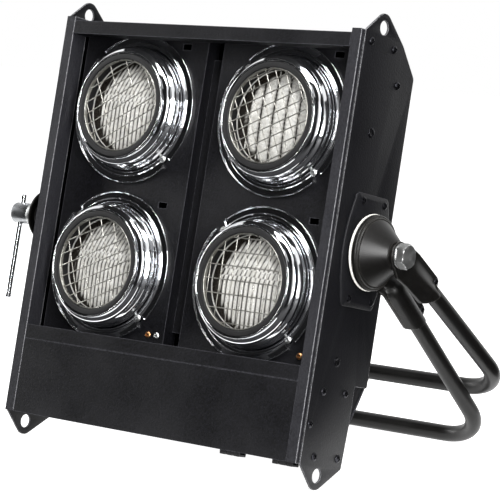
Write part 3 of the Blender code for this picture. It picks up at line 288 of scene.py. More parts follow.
def reflector_glass():
    """Clear pressed glass over aluminium: part metal, part milky, under a clear coat."""
    material, tree, shader, place = new_finish("fluted_glass_over_reflector", "lamp_glass",
                                               Metallic=0.3, Coat_Weight=0.4, Coat_Roughness=0.08)
    valley = add(tree, "ShaderNodeAttribute", output="Fac", attribute_name="valley")
    ripple = add(tree, "ShaderNodeTexNoise", {"Vector": place, "Scale": 1000 / RIPPLE_MM, "Detail": 3.0})
    # Painted reflection: the pale and grey patches that this noise mixes stand for the sparkle of the
    # aluminised reflector; the same noise also bumps the glass and varies its roughness.
    share = add(tree, "ShaderNodeMapRange", {0: ripple, 1: 0.35, 2: 0.7})
    mixed = {0: share, 6: linear("f1f0ec"), 7: linear("d2d0c9")}
    bright = add(tree, "ShaderNodeMix", mixed, 2, data_type="RGBA")
    # Painted shade: the valley attribute darkens the glass to brown-grey along the flutes' low lines and in
    # the crescent at the left rim.
    depth = add(tree, "ShaderNodeMapRange", {0: valley, 1: 0.2, 2: 0.75})
    tint = add(tree, "ShaderNodeMix", {0: depth, 6: bright, 7: linear("231f1a")}, 2, data_type="RGBA")
    uneven = add(tree, "ShaderNodeMapRange", {0: ripple, 1: 0.3, 2: 0.7, 3: 0.2, 4: 0.38})
    rise = {"Height": ripple, "Distance": RIPPLE_DEPTH_MM / 1000, "Strength": 0.5}
    waves = add(tree, "ShaderNodeBump", rise)
    feed(tree, shader, {"Base Color": tint, "Roughness": uneven, "Normal": waves})
    return material


lens_glass = reflector_glass()

# %% [markdown]
# ## Tools for the shapes
# Turned parts come from a profile spun round an axis, sheet parts from a flat outline that is
# filled, thickened and given a rounded edge, and tubes from a path. These are the same three
# processes that make the real parts, so the edges land where the real ones do.

# %% Outlines
def arc(centre, radius, start, end, steps):
    """Return points on an arc, with its angles in degrees."""
    points = []
    for step in range(steps + 1):
        angle = math.radians(start + (end - start) * step / steps)
        points.append((centre[0] + radius * math.cos(angle), centre[1] + radius * math.sin(angle)))
    return points


def rounded(corners, steps=4, ring=True):
    """Round the corners of an outline. Each corner is (x, y) or (x, y, radius)."""
    points = []
    for index, (x, y, *radius) in enumerate(corners):
        here = Vector((x, y))
        open_end = not ring and index in (0, len(corners) - 1)
        if open_end or not radius:
            points.append((x, y))
            continue
        before = (Vector(corners[index - 1][:2]) - here).normalized()
        after = (Vector(corners[(index + 1) % len(corners)][:2]) - here).normalized()
        half = before.angle(after) / 2
        centre = here + (before + after).normalized() * radius[0] / math.sin(half)
        first = here + before * radius[0] / math.tan(half) - centre
        last = here + after * radius[0] / math.tan(half) - centre
        start = math.degrees(math.atan2(first.y, first.x))
        sweep = math.degrees(math.atan2(first.x * last.y - first.y * last.x, first.dot(last)))
        points += arc(centre, radius[0], start, start + sweep, steps)
    return points


print("an arc of six steps has", len(arc((0, 0), 1, 0, 90, 6)), "points")

# %% Closed meshes
def cleaned(mesh, gap):
    """Merge points that are closer than a gap, and point all faces outwards."""
    work = bmesh.new()
    work.from_mesh(mesh)
    bmesh.ops.remove_doubles(work, verts=work.verts, dist=gap)
    bmesh.ops.recalc_face_normals(work, faces=work.faces)
    work.to_mesh(mesh)
    work.free()
    return mesh


def closed(vertices, faces):
    """Make a closed mesh from points and faces."""
    mesh = bpy.data.meshes.new("shape")
    mesh.from_pydata(vertices, [], faces)
    return cleaned(mesh, 0.001)


def walls(rows):
    """Return the faces between each row of points and the next, all the way round."""
    faces = []
    for lower, upper in zip(rows, rows[1:]):
        for step in range(len(lower)):
            after = (step + 1) % len(lower)
            face = tuple(dict.fromkeys((lower[step], lower[after], upper[after], upper[step])))
            if len(face) > 2:
                faces.append(face)
    return faces


def skinned(rings):
    """Make a closed mesh from rings of points that follow each other, with a flat face at each end."""
    count = len(rings[0])
    rows = [range(count * index, count * (index + 1)) for index in range(len(rings))]
    vertices = [point for ring in rings for point in ring]
    return closed(vertices, [rows[0], rows[-1], *walls(rows)])


print("two rows of eight points have", len(walls([range(8), range(8, 16)])), "faces between them")

# %% Joining and moving
def joined(*meshes):
    """Put several meshes into one."""
    work = bmesh.new()
    for mesh in meshes:
        work.from_mesh(mesh)
    result = bpy.data.meshes.new("joined")
    work.to_mesh(result)
    work.free()
    return result


def moved(mesh, x=0, y=0, z=0, turn=0):
    """Return a copy of a mesh, turned about its own Z by some degrees and then moved."""
    result = mesh.copy()
    result.transform(Matrix.Translation((x, y, z)) @ Matrix.Rotation(math.radians(turn), 4, "Z"))
    return result


prism = joined(skinned([[(0, 0, 0), (1, 0, 0), (0, 1, 0)], [(0, 0, 1), (1, 0, 1), (0, 1, 1)]]))
print("a prism has", len(prism.polygons), "faces, and so has its copy:", len(moved(prism, 2).polygons))

# %% Turned parts and rods
def turned(profile, ring=True, angles=None, limit=None):
    """Spin a (radius, height) profile about Z. A limit holds the radius at an angle, for notches."""
    angles = angles or [step * 3.75 for step in range(96)]
    vertices, rows = [], []
    for radius, height in profile:
        row = []
        for angle in angles:
            if radius or not row:
                reach = min(radius, limit(angle)) if limit else radius
                turn = math.radians(angle)
                row.append(len(vertices))
                vertices.append((reach * math.cos(turn), reach * math.sin(turn), height))
            else:
                row.append(row[0])
        rows.append(row)
    return closed(vertices, walls([*rows, rows[0]] if ring else rows))


def lathe(corners, steps=4, ring=True, angles=None, limit=None):
    """Spin a profile with rounded corners. One that isn't a ring starts and ends on the axis."""
    return turned(rounded(corners, steps, ring), ring, angles, limit)


def rod(start, end, radius, sides=12, rounding=0.3):
    """Make a round bar between two points, with slightly rounded ends."""
    start, end = Vector(start), Vector(end)
    length = (end - start).length
    corners = [(0, 0), (radius, 0, rounding), (radius, length, rounding), (0, length)]
    mesh = lathe(corners, 2, False, [360 * side / sides for side in range(sides)])
    turn = Vector((0, 0, 1)).rotation_difference(end - start).to_matrix().to_4x4()
    mesh.transform(Matrix.Translation(start) @ turn)
    return mesh


print("a rod has", len(rod((0, 0, 0), (0, 0, 1), 1).vertices), "points")

# %% Flat plates
def plate(outline, holes, thickness, edge=0.4):
    """Fill an outline with holes, thicken it about z = 0 and round its edges, as a cut sheet has."""
    curve = bpy.data.curves.new("plate", "CURVE")
    curve.dimensions = "2D"
    curve.fill_mode = "BOTH"
    curve.extrude = thickness / 2 - edge
    curve.bevel_depth = edge
    curve.bevel_resolution = 2
    curve.offset = -edge
    for number, loop in enumerate([outline, *holes]):
        area = sum(a[0] * b[1] - b[0] * a[1] for a, b in zip(loop, [*loop[1:], loop[0]]))
        if (area > 0) == (number > 0):
            loop = loop[::-1]
        spline = curve.splines.new("POLY")
        spline.points.add(len(loop) - 1)
        for point, (x, y) in zip(spline.points, loop):
            point.co = (x, y, 0, 1)
        spline.use_cyclic_u = True
    holder = bpy.data.objects.new("plate", curve)
    mesh = bpy.data.meshes.new_from_object(holder)
    bpy.data.objects.remove(holder)
    bpy.data.curves.remove(curve)
    return cleaned(mesh, 0.002)


print("a round plate has", len(plate(arc((0, 0), 5, 0, 330, 11), [], 2).vertices), "points")

# %% [markdown]
# ## Putting a piece in its place
# A piece is drawn where it is easiest to draw, and one matrix carries it to its place. A piece with
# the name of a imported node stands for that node. Small bevels go on as modifiers.

# %% Pieces
def soften(piece, edge):
    """Round a piece's hard edges with a small bevel, in millimetres."""
    bevel = piece.modifiers.new("rounded_edges", "BEVEL")
    bevel.width = edge / 1000
    bevel.segments = 2
    bevel.limit_method = "ANGLE"
    bevel.angle_limit = math.radians(30)
    bevel.harden_normals = True


def add_piece(name, mesh, material, body, place, crease=32, edge=0):
    """Put a mesh in its place, give it its finish, and let it ride on its body."""
    mesh = mesh.copy()
    mesh.name = name
    mesh.transform(place)
    if place.determinant() < 0:
        mesh.flip_normals()
    mesh.materials.clear()
    mesh.materials.append(material)
    mesh.shade_smooth()
    mesh.set_sharp_from_angle(angle=math.radians(crease))
    piece = bpy.data.objects.new(name, mesh)
    bpy.context.scene.collection.objects.link(piece)
    if edge:
        soften(piece, edge)
    if name in frame["nodes"]:
        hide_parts(name)
    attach(piece, body)
    return piece


# %% [markdown]
# ## Screws
# Pan heads with a cross recess hold the covers. A head is a fine polar grid whose middle is pushed
# down where the driver goes, so the recess is real and takes a highlight of its own.

# %% A screw head
SCREW_SIDES, SCREW_RINGS = 48, 14


def recess_depth(kind, x, y, radius):
    """Return how deep the driver recess is at a point of the head."""
    if kind == "cross":
        arm, width = radius * 0.58, radius * 0.17
        inside = (abs(x) < width and abs(y) < arm) or (abs(y) < width and abs(x) < arm)
        return radius * 0.35 if inside else 0
    turns = (0, math.pi / 3, 2 * math.pi / 3)
    flats = max(abs(x * math.cos(turn) + y * math.sin(turn)) for turn in turns)
    return radius * 0.6 if flats < radius * 0.5 else 0


def screw(radius, height, kind="cross", turn=0, power=2.6):
    """Make a domed head that stands on z = 0, with a cross or hexagon recess."""
    vertices, rows = [(0, 0, height - recess_depth(kind, 0, 0, radius))], []
    for ring in range(1, SCREW_RINGS + 1):
        reach = radius * ring / SCREW_RINGS
        row = []
        for side in range(SCREW_SIDES):
            angle = 2 * math.pi * side / SCREW_SIDES
            x, y = reach * math.cos(angle), reach * math.sin(angle)
            row.append(len(vertices))
            top = height * (1 - 0.75 * (reach / radius) ** power)
            vertices.append((x, y, top - recess_depth(kind, x, y, radius)))
        rows.append(row)
    foot = []
    for x, y, z in [vertices[index] for index in rows[-1]]:
        foot.append(len(vertices))
        vertices.append((x, y, 0))
    centre = [0] * SCREW_SIDES
    return moved(closed(vertices, [foot, *walls([centre, *rows, foot])]), turn=turn)


pan_head = screw(3.6, 2.2)
print("pan head", len(pan_head.vertices), "points")

# %% [markdown]
# ## Sheet metal that stays
# The folded stiles, rails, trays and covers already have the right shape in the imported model. They
# keep their meshes and only gain the coat and a small bevel, because a real folded edge is never
# razor sharp and a dark object is drawn by the light on its edges.

# %% Coat the folded sheets
FOLDED = ("top_rail", "lower_rail", "lower_cover", "chassis_plate", "rear_cover", "lamp_tray_L",
          "lamp_tray_R", "centre_spine")
STILES = ("front_stile_L", "front_stile_R")


def finish_node(name, material, edge):
    """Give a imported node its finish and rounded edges. Its mesh isn't touched."""
    node = frame["nodes"][name]
    for slot in node.material_slots:
        slot.link = "OBJECT"
        slot.material = material
    soften(node, edge)


for name in FOLDED:
    finish_node(name, powder_black, 0.9)
for name in STILES:
    finish_node(name, powder_stile, 1.3)
print("coated", len(FOLDED) + len(STILES), "sheets")

# %% [markdown]
# ## Side plates
# Each side is one laser-cut plate with a drilled ear at its top and bottom, so that heads can be
# joined in rows. A filled curve with a rounded edge makes such a plate in one go: the ears are
# arcs, and the hole walls get the same small radius as the outline.

# %% Side plates
PLATE_THICKNESS = 2.0
EAR_RADIUS, EAR_HOLE = 15.1, 7.5
TOP_EAR, BOTTOM_EAR = (36.8, 461.2), (37.5, -10.8)
BOLT_BORE = 8.3
FRONT_TOP, FRONT_FOOT = (4.4, 453.4), (4.4, 0)
TOP_BEND, REAR_FOOT = (77, 450.4), (80, -2)
REAR_CORNERS = [(106, 420.4, 6), (106, 86, 2), (83, 86, 2), (83, 43.5, 6)]


def tangent(point, centre, radius, way):
    """Return the angle, in degrees, where a line from a point touches a circle."""
    away = Vector(point) - Vector(centre)
    return math.degrees(math.atan2(away.y, away.x) + way * math.acos(radius / away.length)) % 360


def ear(centre, before, after):
    """Return the arc of an ear between the tangents from the corners before and after it."""
    start, end = tangent(before, centre, EAR_RADIUS, -1), tangent(after, centre, EAR_RADIUS, 1)
    return arc(centre, EAR_RADIUS, start, end, 20)


top_arc = ear(TOP_EAR, FRONT_TOP, TOP_BEND)
foot_arc = ear(BOTTOM_EAR, REAR_FOOT, FRONT_FOOT)
rear = [top_arc[-1], (*TOP_BEND, 6), *REAR_CORNERS, (*REAR_FOOT, 2), foot_arc[0]]
plate_outline = [*rounded([(*FRONT_FOOT, 1.5), (*FRONT_TOP, 1.5)], 3, False), *top_arc,
                 *rounded(rear, 5, False)[1:-1], *foot_arc]
bores = ((TOP_EAR, EAR_HOLE), (BOTTOM_EAR, EAR_HOLE), ((PIVOT_Y, PIVOT_Z), BOLT_BORE))
plate_holes = [arc(centre, radius, 0, 352.5, 47) for centre, radius in bores]
side_plate = plate(plate_outline, plate_holes, PLATE_THICKNESS)
for side, outside in OUTSIDE.items():
    place = HEAD @ outside @ Matrix.Translation((-PLATE_THICKNESS / 2, 0, 0)) @ FACE_RIGHT
    add_piece("side_plate_" + side, side_plate, powder_worn_and_highlit, "head", place)
print("side plate points", len(side_plate.vertices))

# %% [markdown]
# ## Lamp rings
# A pressed chrome ring holds each lamp on the tray. It has a short collar round its bore, a flat
# that slopes very slightly down, and a thin turned-up lip, which is the bright line round the lamp.
# Two notches on the swivel axis let the swivel screws in. It is a spun profile whose radius is cut
# back at the notches.

# %% Rings and swivel screws
RING_RADIUS, RING_BORE, RING_FOOT = 84.0, 71.3, 0.3
COLLAR_HEIGHT, LIP_HEIGHT = 3.4, 2.5
NOTCH_RADIUS, NOTCH_HALF = 77.2, 4.0
SWIVEL_SCREW_AT, SWIVEL_SCREW_FOOT = 75.2, 1.8
PIN_FROM, PIN_TO, PIN_HEIGHT, PIN_RADIUS = 66, 74, 1.9, 1.6
SWIVEL_TURNS = (-45, 135)
ring_corners = [(RING_BORE, RING_FOOT), (RING_BORE, COLLAR_HEIGHT, 1.2), (75.4, COLLAR_HEIGHT, 1.2),
                (76.4, 1.9, 0.5), (82.4, 1.1, 0.4), (83.1, LIP_HEIGHT, 0.4),
                (RING_RADIUS, LIP_HEIGHT, 0.4), (RING_RADIUS, RING_FOOT)]
ring_angles = {step * 3 for step in range(120)}
for turn in SWIVEL_TURNS:
    for away in (-NOTCH_HALF - 0.1, -NOTCH_HALF, NOTCH_HALF, NOTCH_HALF + 0.1):
        ring_angles.add(turn % 360 + away)


def notch_limit(angle):
    """Return how far out the ring reaches at an angle."""
    for turn in SWIVEL_TURNS:
        if abs((angle - turn + 180) % 360 - 180) <= NOTCH_HALF:
            return NOTCH_RADIUS
    return RING_RADIUS


ring_mesh = lathe(ring_corners, 5, True, sorted(ring_angles), notch_limit)
swivel_screw = screw(4.3, 3.0, "cross", 20, 2.2)
lift = Vector((0, 0, PIN_HEIGHT))
parts = []
for turn in SWIVEL_TURNS:
    way = Vector((math.cos(math.radians(turn)), math.sin(math.radians(turn)), 0))
    parts.append(moved(swivel_screw, *(way * SWIVEL_SCREW_AT)[:2], SWIVEL_SCREW_FOOT, turn))
    parts.append(rod(way * PIN_FROM + lift, way * PIN_TO + lift, PIN_RADIUS))
for lamp in LAMPS:
    add_piece("lamp_ring_" + lamp, ring_mesh, chrome, "head", lamp_place[lamp])
    add_piece("swivel_screws_" + lamp, joined(*parts), zinc, "head", lamp_place[lamp])
print("ring points", len(ring_mesh.vertices))

# %% [markdown]
# ## Bezels
# The bezel is a deep spun cup with three rolled steps, so that it can swivel in the ring like a
# ball in a socket. The rolls are full round arcs: each one catches its own thin line of light. The
# profile must stay inside the ball, or the bezel would rub on the ring when it turns.

# %% Bezels
BALL_RADIUS = 70.5
BEZEL_MOUTH = [(58.6, 6.9), (58.9, 27.6, 0.5), (61.0, 27.6, 0.9), (61.0, 24.2)]
ROLLS = (((61.8, 18.6), 4.8, 62, -38), ((64.4, 10.6), 4.4, 45, -40), ((64.9, 2.2), 5.0, 50, -60))
BEZEL_CUP = [(66.6, -6.0), (67.6, -16.0), (66.4, -16.0), (66.2, -4.0), (60.0, 5.6), (56.6, 5.6), (56.6, 6.7)]
bezel_profile = [(58.6, 6.7), *rounded(BEZEL_MOUTH, 4, False)[1:]]
for centre, radius, start, end in ROLLS:
    bezel_profile += arc(centre, radius, start, end, 9)
bezel_profile += BEZEL_CUP
bezel_reach = max(math.hypot(radius, height) for radius, height in bezel_profile)
bezel_mesh = turned(bezel_profile)
print("bezel reaches", round(bezel_reach, 2), "of", BALL_RADIUS)

# %% [markdown]
# ## Gasket and wire guard
# A black rubber ring grips the lamp in the bezel. The guard is clipped inside it: a short band of
# galvanised strip with a round hoop at its front, and two layers of straight wires, which lie
# across each other and are welded to the hoop. Each lamp was fitted at its own angle, so the wires
# lie differently.

# %% Gasket and guard
gasket_mesh = lathe([(52.0, 11.2), (52.0, 27.3, 0.9), (58.2, 27.3, 0.9), (58.2, 9.5)])

WIRE = 0.6
HOOP_RADIUS, HOOP_AT, HOOP_WIRE = 51.0, 25.9, 0.85
BAND_FOOT, BAND_INNER, BAND_OUTER = 21.5, 50.9, 51.5
TOP_LAYER_DOWN, LAYER_DOWN = 0.1, 1.1
WIRE_ANGLES = {"TL": (30.0, 118.0), "TR": (25.0, 118.0), "BL": (24.0, 112.0), "BR": (0.0, 90.0)}
WIRE_PITCH = {"TL": (12.4, 22.0), "TR": (11.6, 11.6), "BL": (12.4, 16.5), "BR": (15.2, 15.2)}


def guard(lamp):
    """Make a guard: a band with a round hoop at its front, and two layers of wires."""
    band = lathe([(BAND_OUTER, BAND_FOOT), (BAND_OUTER, HOOP_AT), (BAND_INNER, HOOP_AT),
                  (BAND_INNER, BAND_FOOT)])
    hoop = turned(arc((HOOP_RADIUS, HOOP_AT), HOOP_WIRE, 0, 330, 11))
    parts = [band, hoop]
    for layer in (0, 1):
        turn = math.radians(WIRE_ANGLES[lamp][layer])
        along = Vector((math.cos(turn), math.sin(turn), 0))
        aside = Vector((-along.y, along.x, 0))
        pitch = WIRE_PITCH[lamp][layer]
        height = HOOP_AT - TOP_LAYER_DOWN - LAYER_DOWN * layer
        count = int(HOOP_RADIUS / pitch)
        for index in range(-count, count + 1):
            place = index * pitch
            half = math.sqrt(HOOP_RADIUS ** 2 - place ** 2)
            middle = aside * place + Vector((0, 0, height))
            parts.append(rod(middle - along * half, middle + along * half, WIRE, 8, 0.1))
    return joined(*parts)


print("gasket points", len(gasket_mesh.vertices))

# %% [markdown]
# ## Fluted lenses
# The lenses differ: three have narrow upright flutes, one has broad rippled columns. A grid of
# points over the disc is raised by a function of its place. The flutes lean in the upper half and
# break in a row across the middle, as pressed beam lenses do, to spread the light sideways. A
# crescent at the left rim is painted darker: a painted shadow at the rim of the lens.

# %% Lens relief
NARROW_DEPTH, SHIFTED_FROM, SHIFTED_TO, LEAN, LEAN_GROWTH = 0.75, 6, 13, 0.26, 0.004
BROAD_DEPTH, BROAD_PITCH, SEAM_HALF, BEAD_PITCH = 1.3, 16.5, 1.3, 2.6


def flute(x, pitch):
    """Return a rounded rib's height from 0 in its valley to 1 on its crest."""
    return abs(math.sin(math.pi * x / pitch)) ** 0.75


def narrow_relief(x, y, pitch):
    """Upright flutes that lean in the upper half and shift by half a flute across the middle."""
    shift = pitch / 2 if SHIFTED_FROM < y < SHIFTED_TO else 0
    lean = LEAN * max(y, 0) + LEAN_GROWTH * max(y, 0) ** 2
    rib = flute(x - lean + shift, pitch)
    cell = 0.22 * flute(y + 3, 9.5) if y > 4 else 0.1 * flute(y, 14)
    return rib * 0.85 + cell * (1 - 0.3 * rib)


def broad_relief(x, y):
    """Broad columns with small ripples along them and beaded seams between them."""
    rib = flute(x + 4, BROAD_PITCH) ** 0.7
    ripple = 0.16 * flute(y + 0.05 * x * x / 10, 5.0)
    from_seam = abs((x + 4 + BROAD_PITCH / 2) % BROAD_PITCH - BROAD_PITCH / 2)
    seam = max(0.0, 1 - from_seam / SEAM_HALF)
    bead = seam * (0.5 + 0.5 * math.sin(2 * math.pi * y / BEAD_PITCH))
    return rib * 0.8 + ripple - 0.35 * bead


RELIEF = {
    "TL": (lambda x, y: narrow_relief(x, y, 5.7), NARROW_DEPTH),
    "TR": (broad_relief, BROAD_DEPTH),
    "BL": (lambda x, y: narrow_relief(x + 2, y, 5.4), NARROW_DEPTH),
    "BR": (lambda x, y: narrow_relief(x + 1, y, 6.1), 0.8),
}
print("reliefs", len(RELIEF))

# %% Lamps and what holds them
LENS_RADIUS, LENS_FOOT, LENS_CROWN = 51.6, 9.1, 3.0
COLUMNS, ROWS = 200, 72
PAINTED_RIM_SHADE_CENTRE, PAINTED_RIM_SHADE_RADIUS, PAINTED_RIM_SHADE_FADE = (9, -2), 46, 9
BULB_NECK = [(56.8, 8.4), (55.8, 4), (49, -18), (34, -38, 12), (15, -46, 6), (13, -60, 2), (0, -60)]
bulb = turned([(0, 8.4), (56.8, 8.9), *rounded(BULB_NECK, 5, False)], False)


def lens(lamp):
    """Make a lamp: the fluted lens in front of the reflector bulb."""
    relief, depth = RELIEF[lamp]
    vertices, painted_valley_and_rim_shade, faces = [], [], []
    for column in range(COLUMNS + 1):
        across = math.sin(math.pi / 2 * (2 * column / COLUMNS - 1) * 0.985)
        x = LENS_RADIUS * across
        reach = math.sqrt(LENS_RADIUS ** 2 - x ** 2)
        for row in range(ROWS + 1):
            y = reach * (2 * row / ROWS - 1)
            share = relief(x, y)
            edge = 1 - (x * x + y * y) / LENS_RADIUS ** 2
            height = LENS_FOOT + LENS_CROWN * edge + depth * (share - 0.9) * min(1, 8 * edge)
            vertices.append((x, y, height))
            # Painted shadow: away from a circle round the given centre the glass darkens, a crescent at the
            # left rim that adds to the painted shade of the low lines.
            away = math.hypot(x - PAINTED_RIM_SHADE_CENTRE[0], y - PAINTED_RIM_SHADE_CENTRE[1])
            shadow = (away - PAINTED_RIM_SHADE_RADIUS) / PAINTED_RIM_SHADE_FADE
            painted_valley_and_rim_shade.append(min(1, max(0, 1 - share, 1 - share + shadow)))
            if row < ROWS and column < COLUMNS:
                start = column * (ROWS + 1) + row
                faces.append((start, start + ROWS + 1, start + ROWS + 2, start + 1))
    front = bpy.data.meshes.new("lens")
    front.from_pydata(vertices, [], faces)
    attribute = front.attributes.new("valley", "FLOAT", "POINT")
    for item, value in zip(attribute.data, painted_valley_and_rim_shade):
        item.value = value
    return joined(front, bulb)


for lamp in LAMPS:
    body, place = "lamp_unit_" + lamp, lamp_place[lamp]
    add_piece("bezel_" + lamp, bezel_mesh, chrome, body, place, 50)
    add_piece("gasket_" + lamp, gasket_mesh, rubber, body, place)
    add_piece("guard_" + lamp, guard(lamp), wire_zinc, body, place, 50)
    add_piece("lamp_" + lamp, lens(lamp), lens_glass, body, place, 70)
print("lens points", (COLUMNS + 1) * (ROWS + 1))

# %% [markdown]
# ## Pivot plates and hubs
# The stand hangs on a big hub at each side: a thick plate screwed to the side, a nylon friction
# washer and a spun steel cone, with a bolt through them all. On the left a dished washer lies
# round the stud, under the clamp nut. The cone and the washers are spun profiles, the plate is a
# face that is pushed out and inset, which gives its sloping border.

# %% Pivot plate
PLATE_HALF_END, PLATE_BULGE, PLATE_HALF_HEIGHT, PLATE_CORNER = 29.0, 12.0, 60.0, 6.0
PLATE_SEAT, PLATE_WALL, BORDER_WIDTH, BORDER_RISE = 0.3, 1.9, 5.4, 2.8


def pivot_plate_mesh():
    """Make the plate with bulging sides and a broad sloping border."""
    quarter = []
    for step in range(1, 13):
        z = (PLATE_HALF_HEIGHT - PLATE_CORNER) * step / 12
        quarter.append((PLATE_HALF_END + PLATE_BULGE * math.cos(math.pi / 2 * z / PLATE_HALF_HEIGHT), z))
    centre = (quarter[-1][0] - PLATE_CORNER, PLATE_HALF_HEIGHT - PLATE_CORNER)
    quarter += arc(centre, PLATE_CORNER, 0, 90, 5)[1:]
    upper = [*quarter, *[(-y, z) for y, z in reversed(quarter)], (-PLATE_HALF_END - PLATE_BULGE, 0)]
    loop = [*upper, *[(-y, -z) for y, z in upper]]
    work = bmesh.new()
    base = work.faces.new([work.verts.new((y, z, PLATE_SEAT)) for y, z in loop])
    raised = bmesh.ops.extrude_face_region(work, geom=[base])
    top = [item for item in raised["geom"] if isinstance(item, bmesh.types.BMFace)]
    corners = list({vert for face in top for vert in face.verts})
    bmesh.ops.translate(work, vec=(0, 0, PLATE_WALL), verts=corners)
    bmesh.ops.recalc_face_normals(work, faces=work.faces)
    bmesh.ops.inset_region(work, faces=top, thickness=BORDER_WIDTH, depth=BORDER_RISE, use_even_offset=True)
    bmesh.ops.recalc_face_normals(work, faces=work.faces)
    result = bpy.data.meshes.new("pivot_plate")
    work.to_mesh(result)
    work.free()
    return result


def on_axis(name, mesh, material, body, crease=32, edge=0, sides="LR"):
    """Add a piece that is drawn round the pivot axis, with z outwards from the side plate."""
    for side in sides:
        full = f"{name}_{side}" if len(sides) > 1 else name
        add_piece(full, mesh, material, body, ABOUT_PIVOT @ OUTSIDE[side] @ FACE_RIGHT, crease, edge)


on_axis("pivot_plate", pivot_plate_mesh(), powder_black, "head", edge=0.5)
PIVOT_PLATE_FACE = PLATE_SEAT + PLATE_WALL + BORDER_RISE
print("pivot plate stands out by", round(PIVOT_PLATE_FACE, 2))

# %% Friction washers, hub cones and clamp washer
WASHER_FOOT, WASHER_TOP, WASHER_RADIUS = 9.6, 11.4, 40.7
CONE_FOOT, CONE_TOP, CONE_RADIUS = 11.7, 42.0, 40.0
CONE_BASE = [(39.2, CONE_FOOT, 0.6), (CONE_RADIUS, 12.6, 0.5), (CONE_RADIUS, 16.4, 1.2), (38.6, 17.6, 0.8),
             (37.6, 17.3, 0.6)]
CONE_FLANK = [(36.6, 19.3, 1.2), (35.2, 19.0, 0.7), (16.2, 41.0, 2.5), (15.0, CONE_TOP, 0.5)]
CAP_BORE, CAP_RADIUS = 17.0, 29.0
CAP_SIDE = [(26.0, 37.0, 2.0), (CAP_RADIUS, 37.6, 1.0), (CAP_RADIUS, 39.2, 0.8), (25.0, 41.7, 2.0)]

washer = lathe([(BOLT_BORE, WASHER_FOOT), (BOLT_BORE, WASHER_TOP), (WASHER_RADIUS, WASHER_TOP, 0.5),
                (WASHER_RADIUS, WASHER_FOOT, 0.5)], 3)
cone = lathe([(BOLT_BORE, CONE_FOOT), *CONE_BASE, *CONE_FLANK, (BOLT_BORE, CONE_TOP)], 5)
cap = lathe([(CAP_BORE, 40.3), *CAP_SIDE, (CAP_BORE, 41.9)], 5)
on_axis("friction_washer", washer, nylon, "floor_stand")
on_axis("hub_cone", cone, yoke_black, "floor_stand", 50)
on_axis("clamp_washer", cap, yoke_black, "floor_stand", 50, 0, "L")
print("hub from", WASHER_FOOT, "to", CONE_TOP, "outside the plate")

# %% [markdown]
# ## Hexagon bolt, clamp stud and T-handle
# On the right a plain zinc hexagon bolt closes the stack. On the left a turned zinc nut with a
# sliding chromed bar clamps it by hand. A hexagon head has a turned chamfer, so its corners end in
# arcs: the head is a hexagon prism whose top is pulled down by its distance from the axis.

# %% Bolt, stud, collar and nuts
HEX_FLATS, HEX_STEPS = 24, 72
CHAMFER, CHAMFER_PULL, CHAMFER_STEPS, FACE_SHARE = 1.2, 1.6, (2.4, 1.6, 0.8, 0), 0.86
BOLT_RADIUS, BOLT_SIDES, BOLT_TAIL, BOLT_NECK, STUD_TOP = 8.0, 48, -20.3, 52, 72
SEAT, FLANGE_TOP, COLLAR_TOP, BOLT_TOP = 46.6, 48.9, 57.7, 58.0
FLANGE_RADIUS, COLLAR_RADIUS = 13.4, 14
NUT_FOOT, NUT_TOP, NUT_RADIUS = 58.0, 84.0, 12.3
CAPTIVE_FROM, CAPTIVE_TO = -15.3, -2.3


def hexagon_head(low, high):
    """Make a hexagon head between two heights, with the turned chamfer on its face."""
    corner = HEX_FLATS / math.sqrt(3)
    levels = [(low, 1), *[(high - down, 1) for down in CHAMFER_STEPS], (high, FACE_SHARE)]
    rings = []
    for height, share in levels:
        ring = []
        for step in range(HEX_STEPS):
            angle = 2 * math.pi * step / HEX_STEPS
            sector = (angle + math.pi / 6) % (math.pi / 3) - math.pi / 6
            flat = HEX_FLATS / 2 / math.cos(sector)
            reach = min(flat, corner - max(0, height - high + CHAMFER) * CHAMFER_PULL) * share
            ring.append((reach * math.cos(angle), reach * math.sin(angle), height))
        rings.append(ring)
    return skinned(rings)


flange = lathe([(0, SEAT), (FLANGE_RADIUS, SEAT, 0.4), (FLANGE_RADIUS, FLANGE_TOP, 0.4), (0, FLANGE_TOP)],
               3, False)
shank = rod((0, 0, BOLT_TAIL), (0, 0, BOLT_NECK), BOLT_RADIUS, BOLT_SIDES)
bolt = joined(hexagon_head(FLANGE_TOP - 0.1, BOLT_TOP), flange, shank)
stud = rod((0, 0, BOLT_TAIL), (0, 0, STUD_TOP), BOLT_RADIUS, BOLT_SIDES)
collar = lathe([(BOLT_BORE, SEAT), (COLLAR_RADIUS, SEAT, 0.8), (COLLAR_RADIUS, COLLAR_TOP, 0.8),
                (BOLT_BORE, COLLAR_TOP)], 3)
nut = lathe([(0, NUT_FOOT), (NUT_RADIUS, NUT_FOOT, 0.8), (NUT_RADIUS, 82.4, 1.4), (10.6, NUT_TOP, 0.8),
             (0, NUT_TOP)], 4, False)
on_axis("pivot_bolt", bolt, zinc, "head", 25, 0, "R")
on_axis("clamp_stud", stud, zinc, "head", 32, 0, "L")
on_axis("clamp_collar", collar, zinc, "head", 32, 0, "L")
on_axis("clamp_nut", nut, turned_zinc, "clamp_nut", 40, 0, "L")
on_axis("captive_nut", hexagon_head(CAPTIVE_FROM, CAPTIVE_TO), zinc, "head", 25)
print("clamp nut from", NUT_FOOT, "to", NUT_TOP)

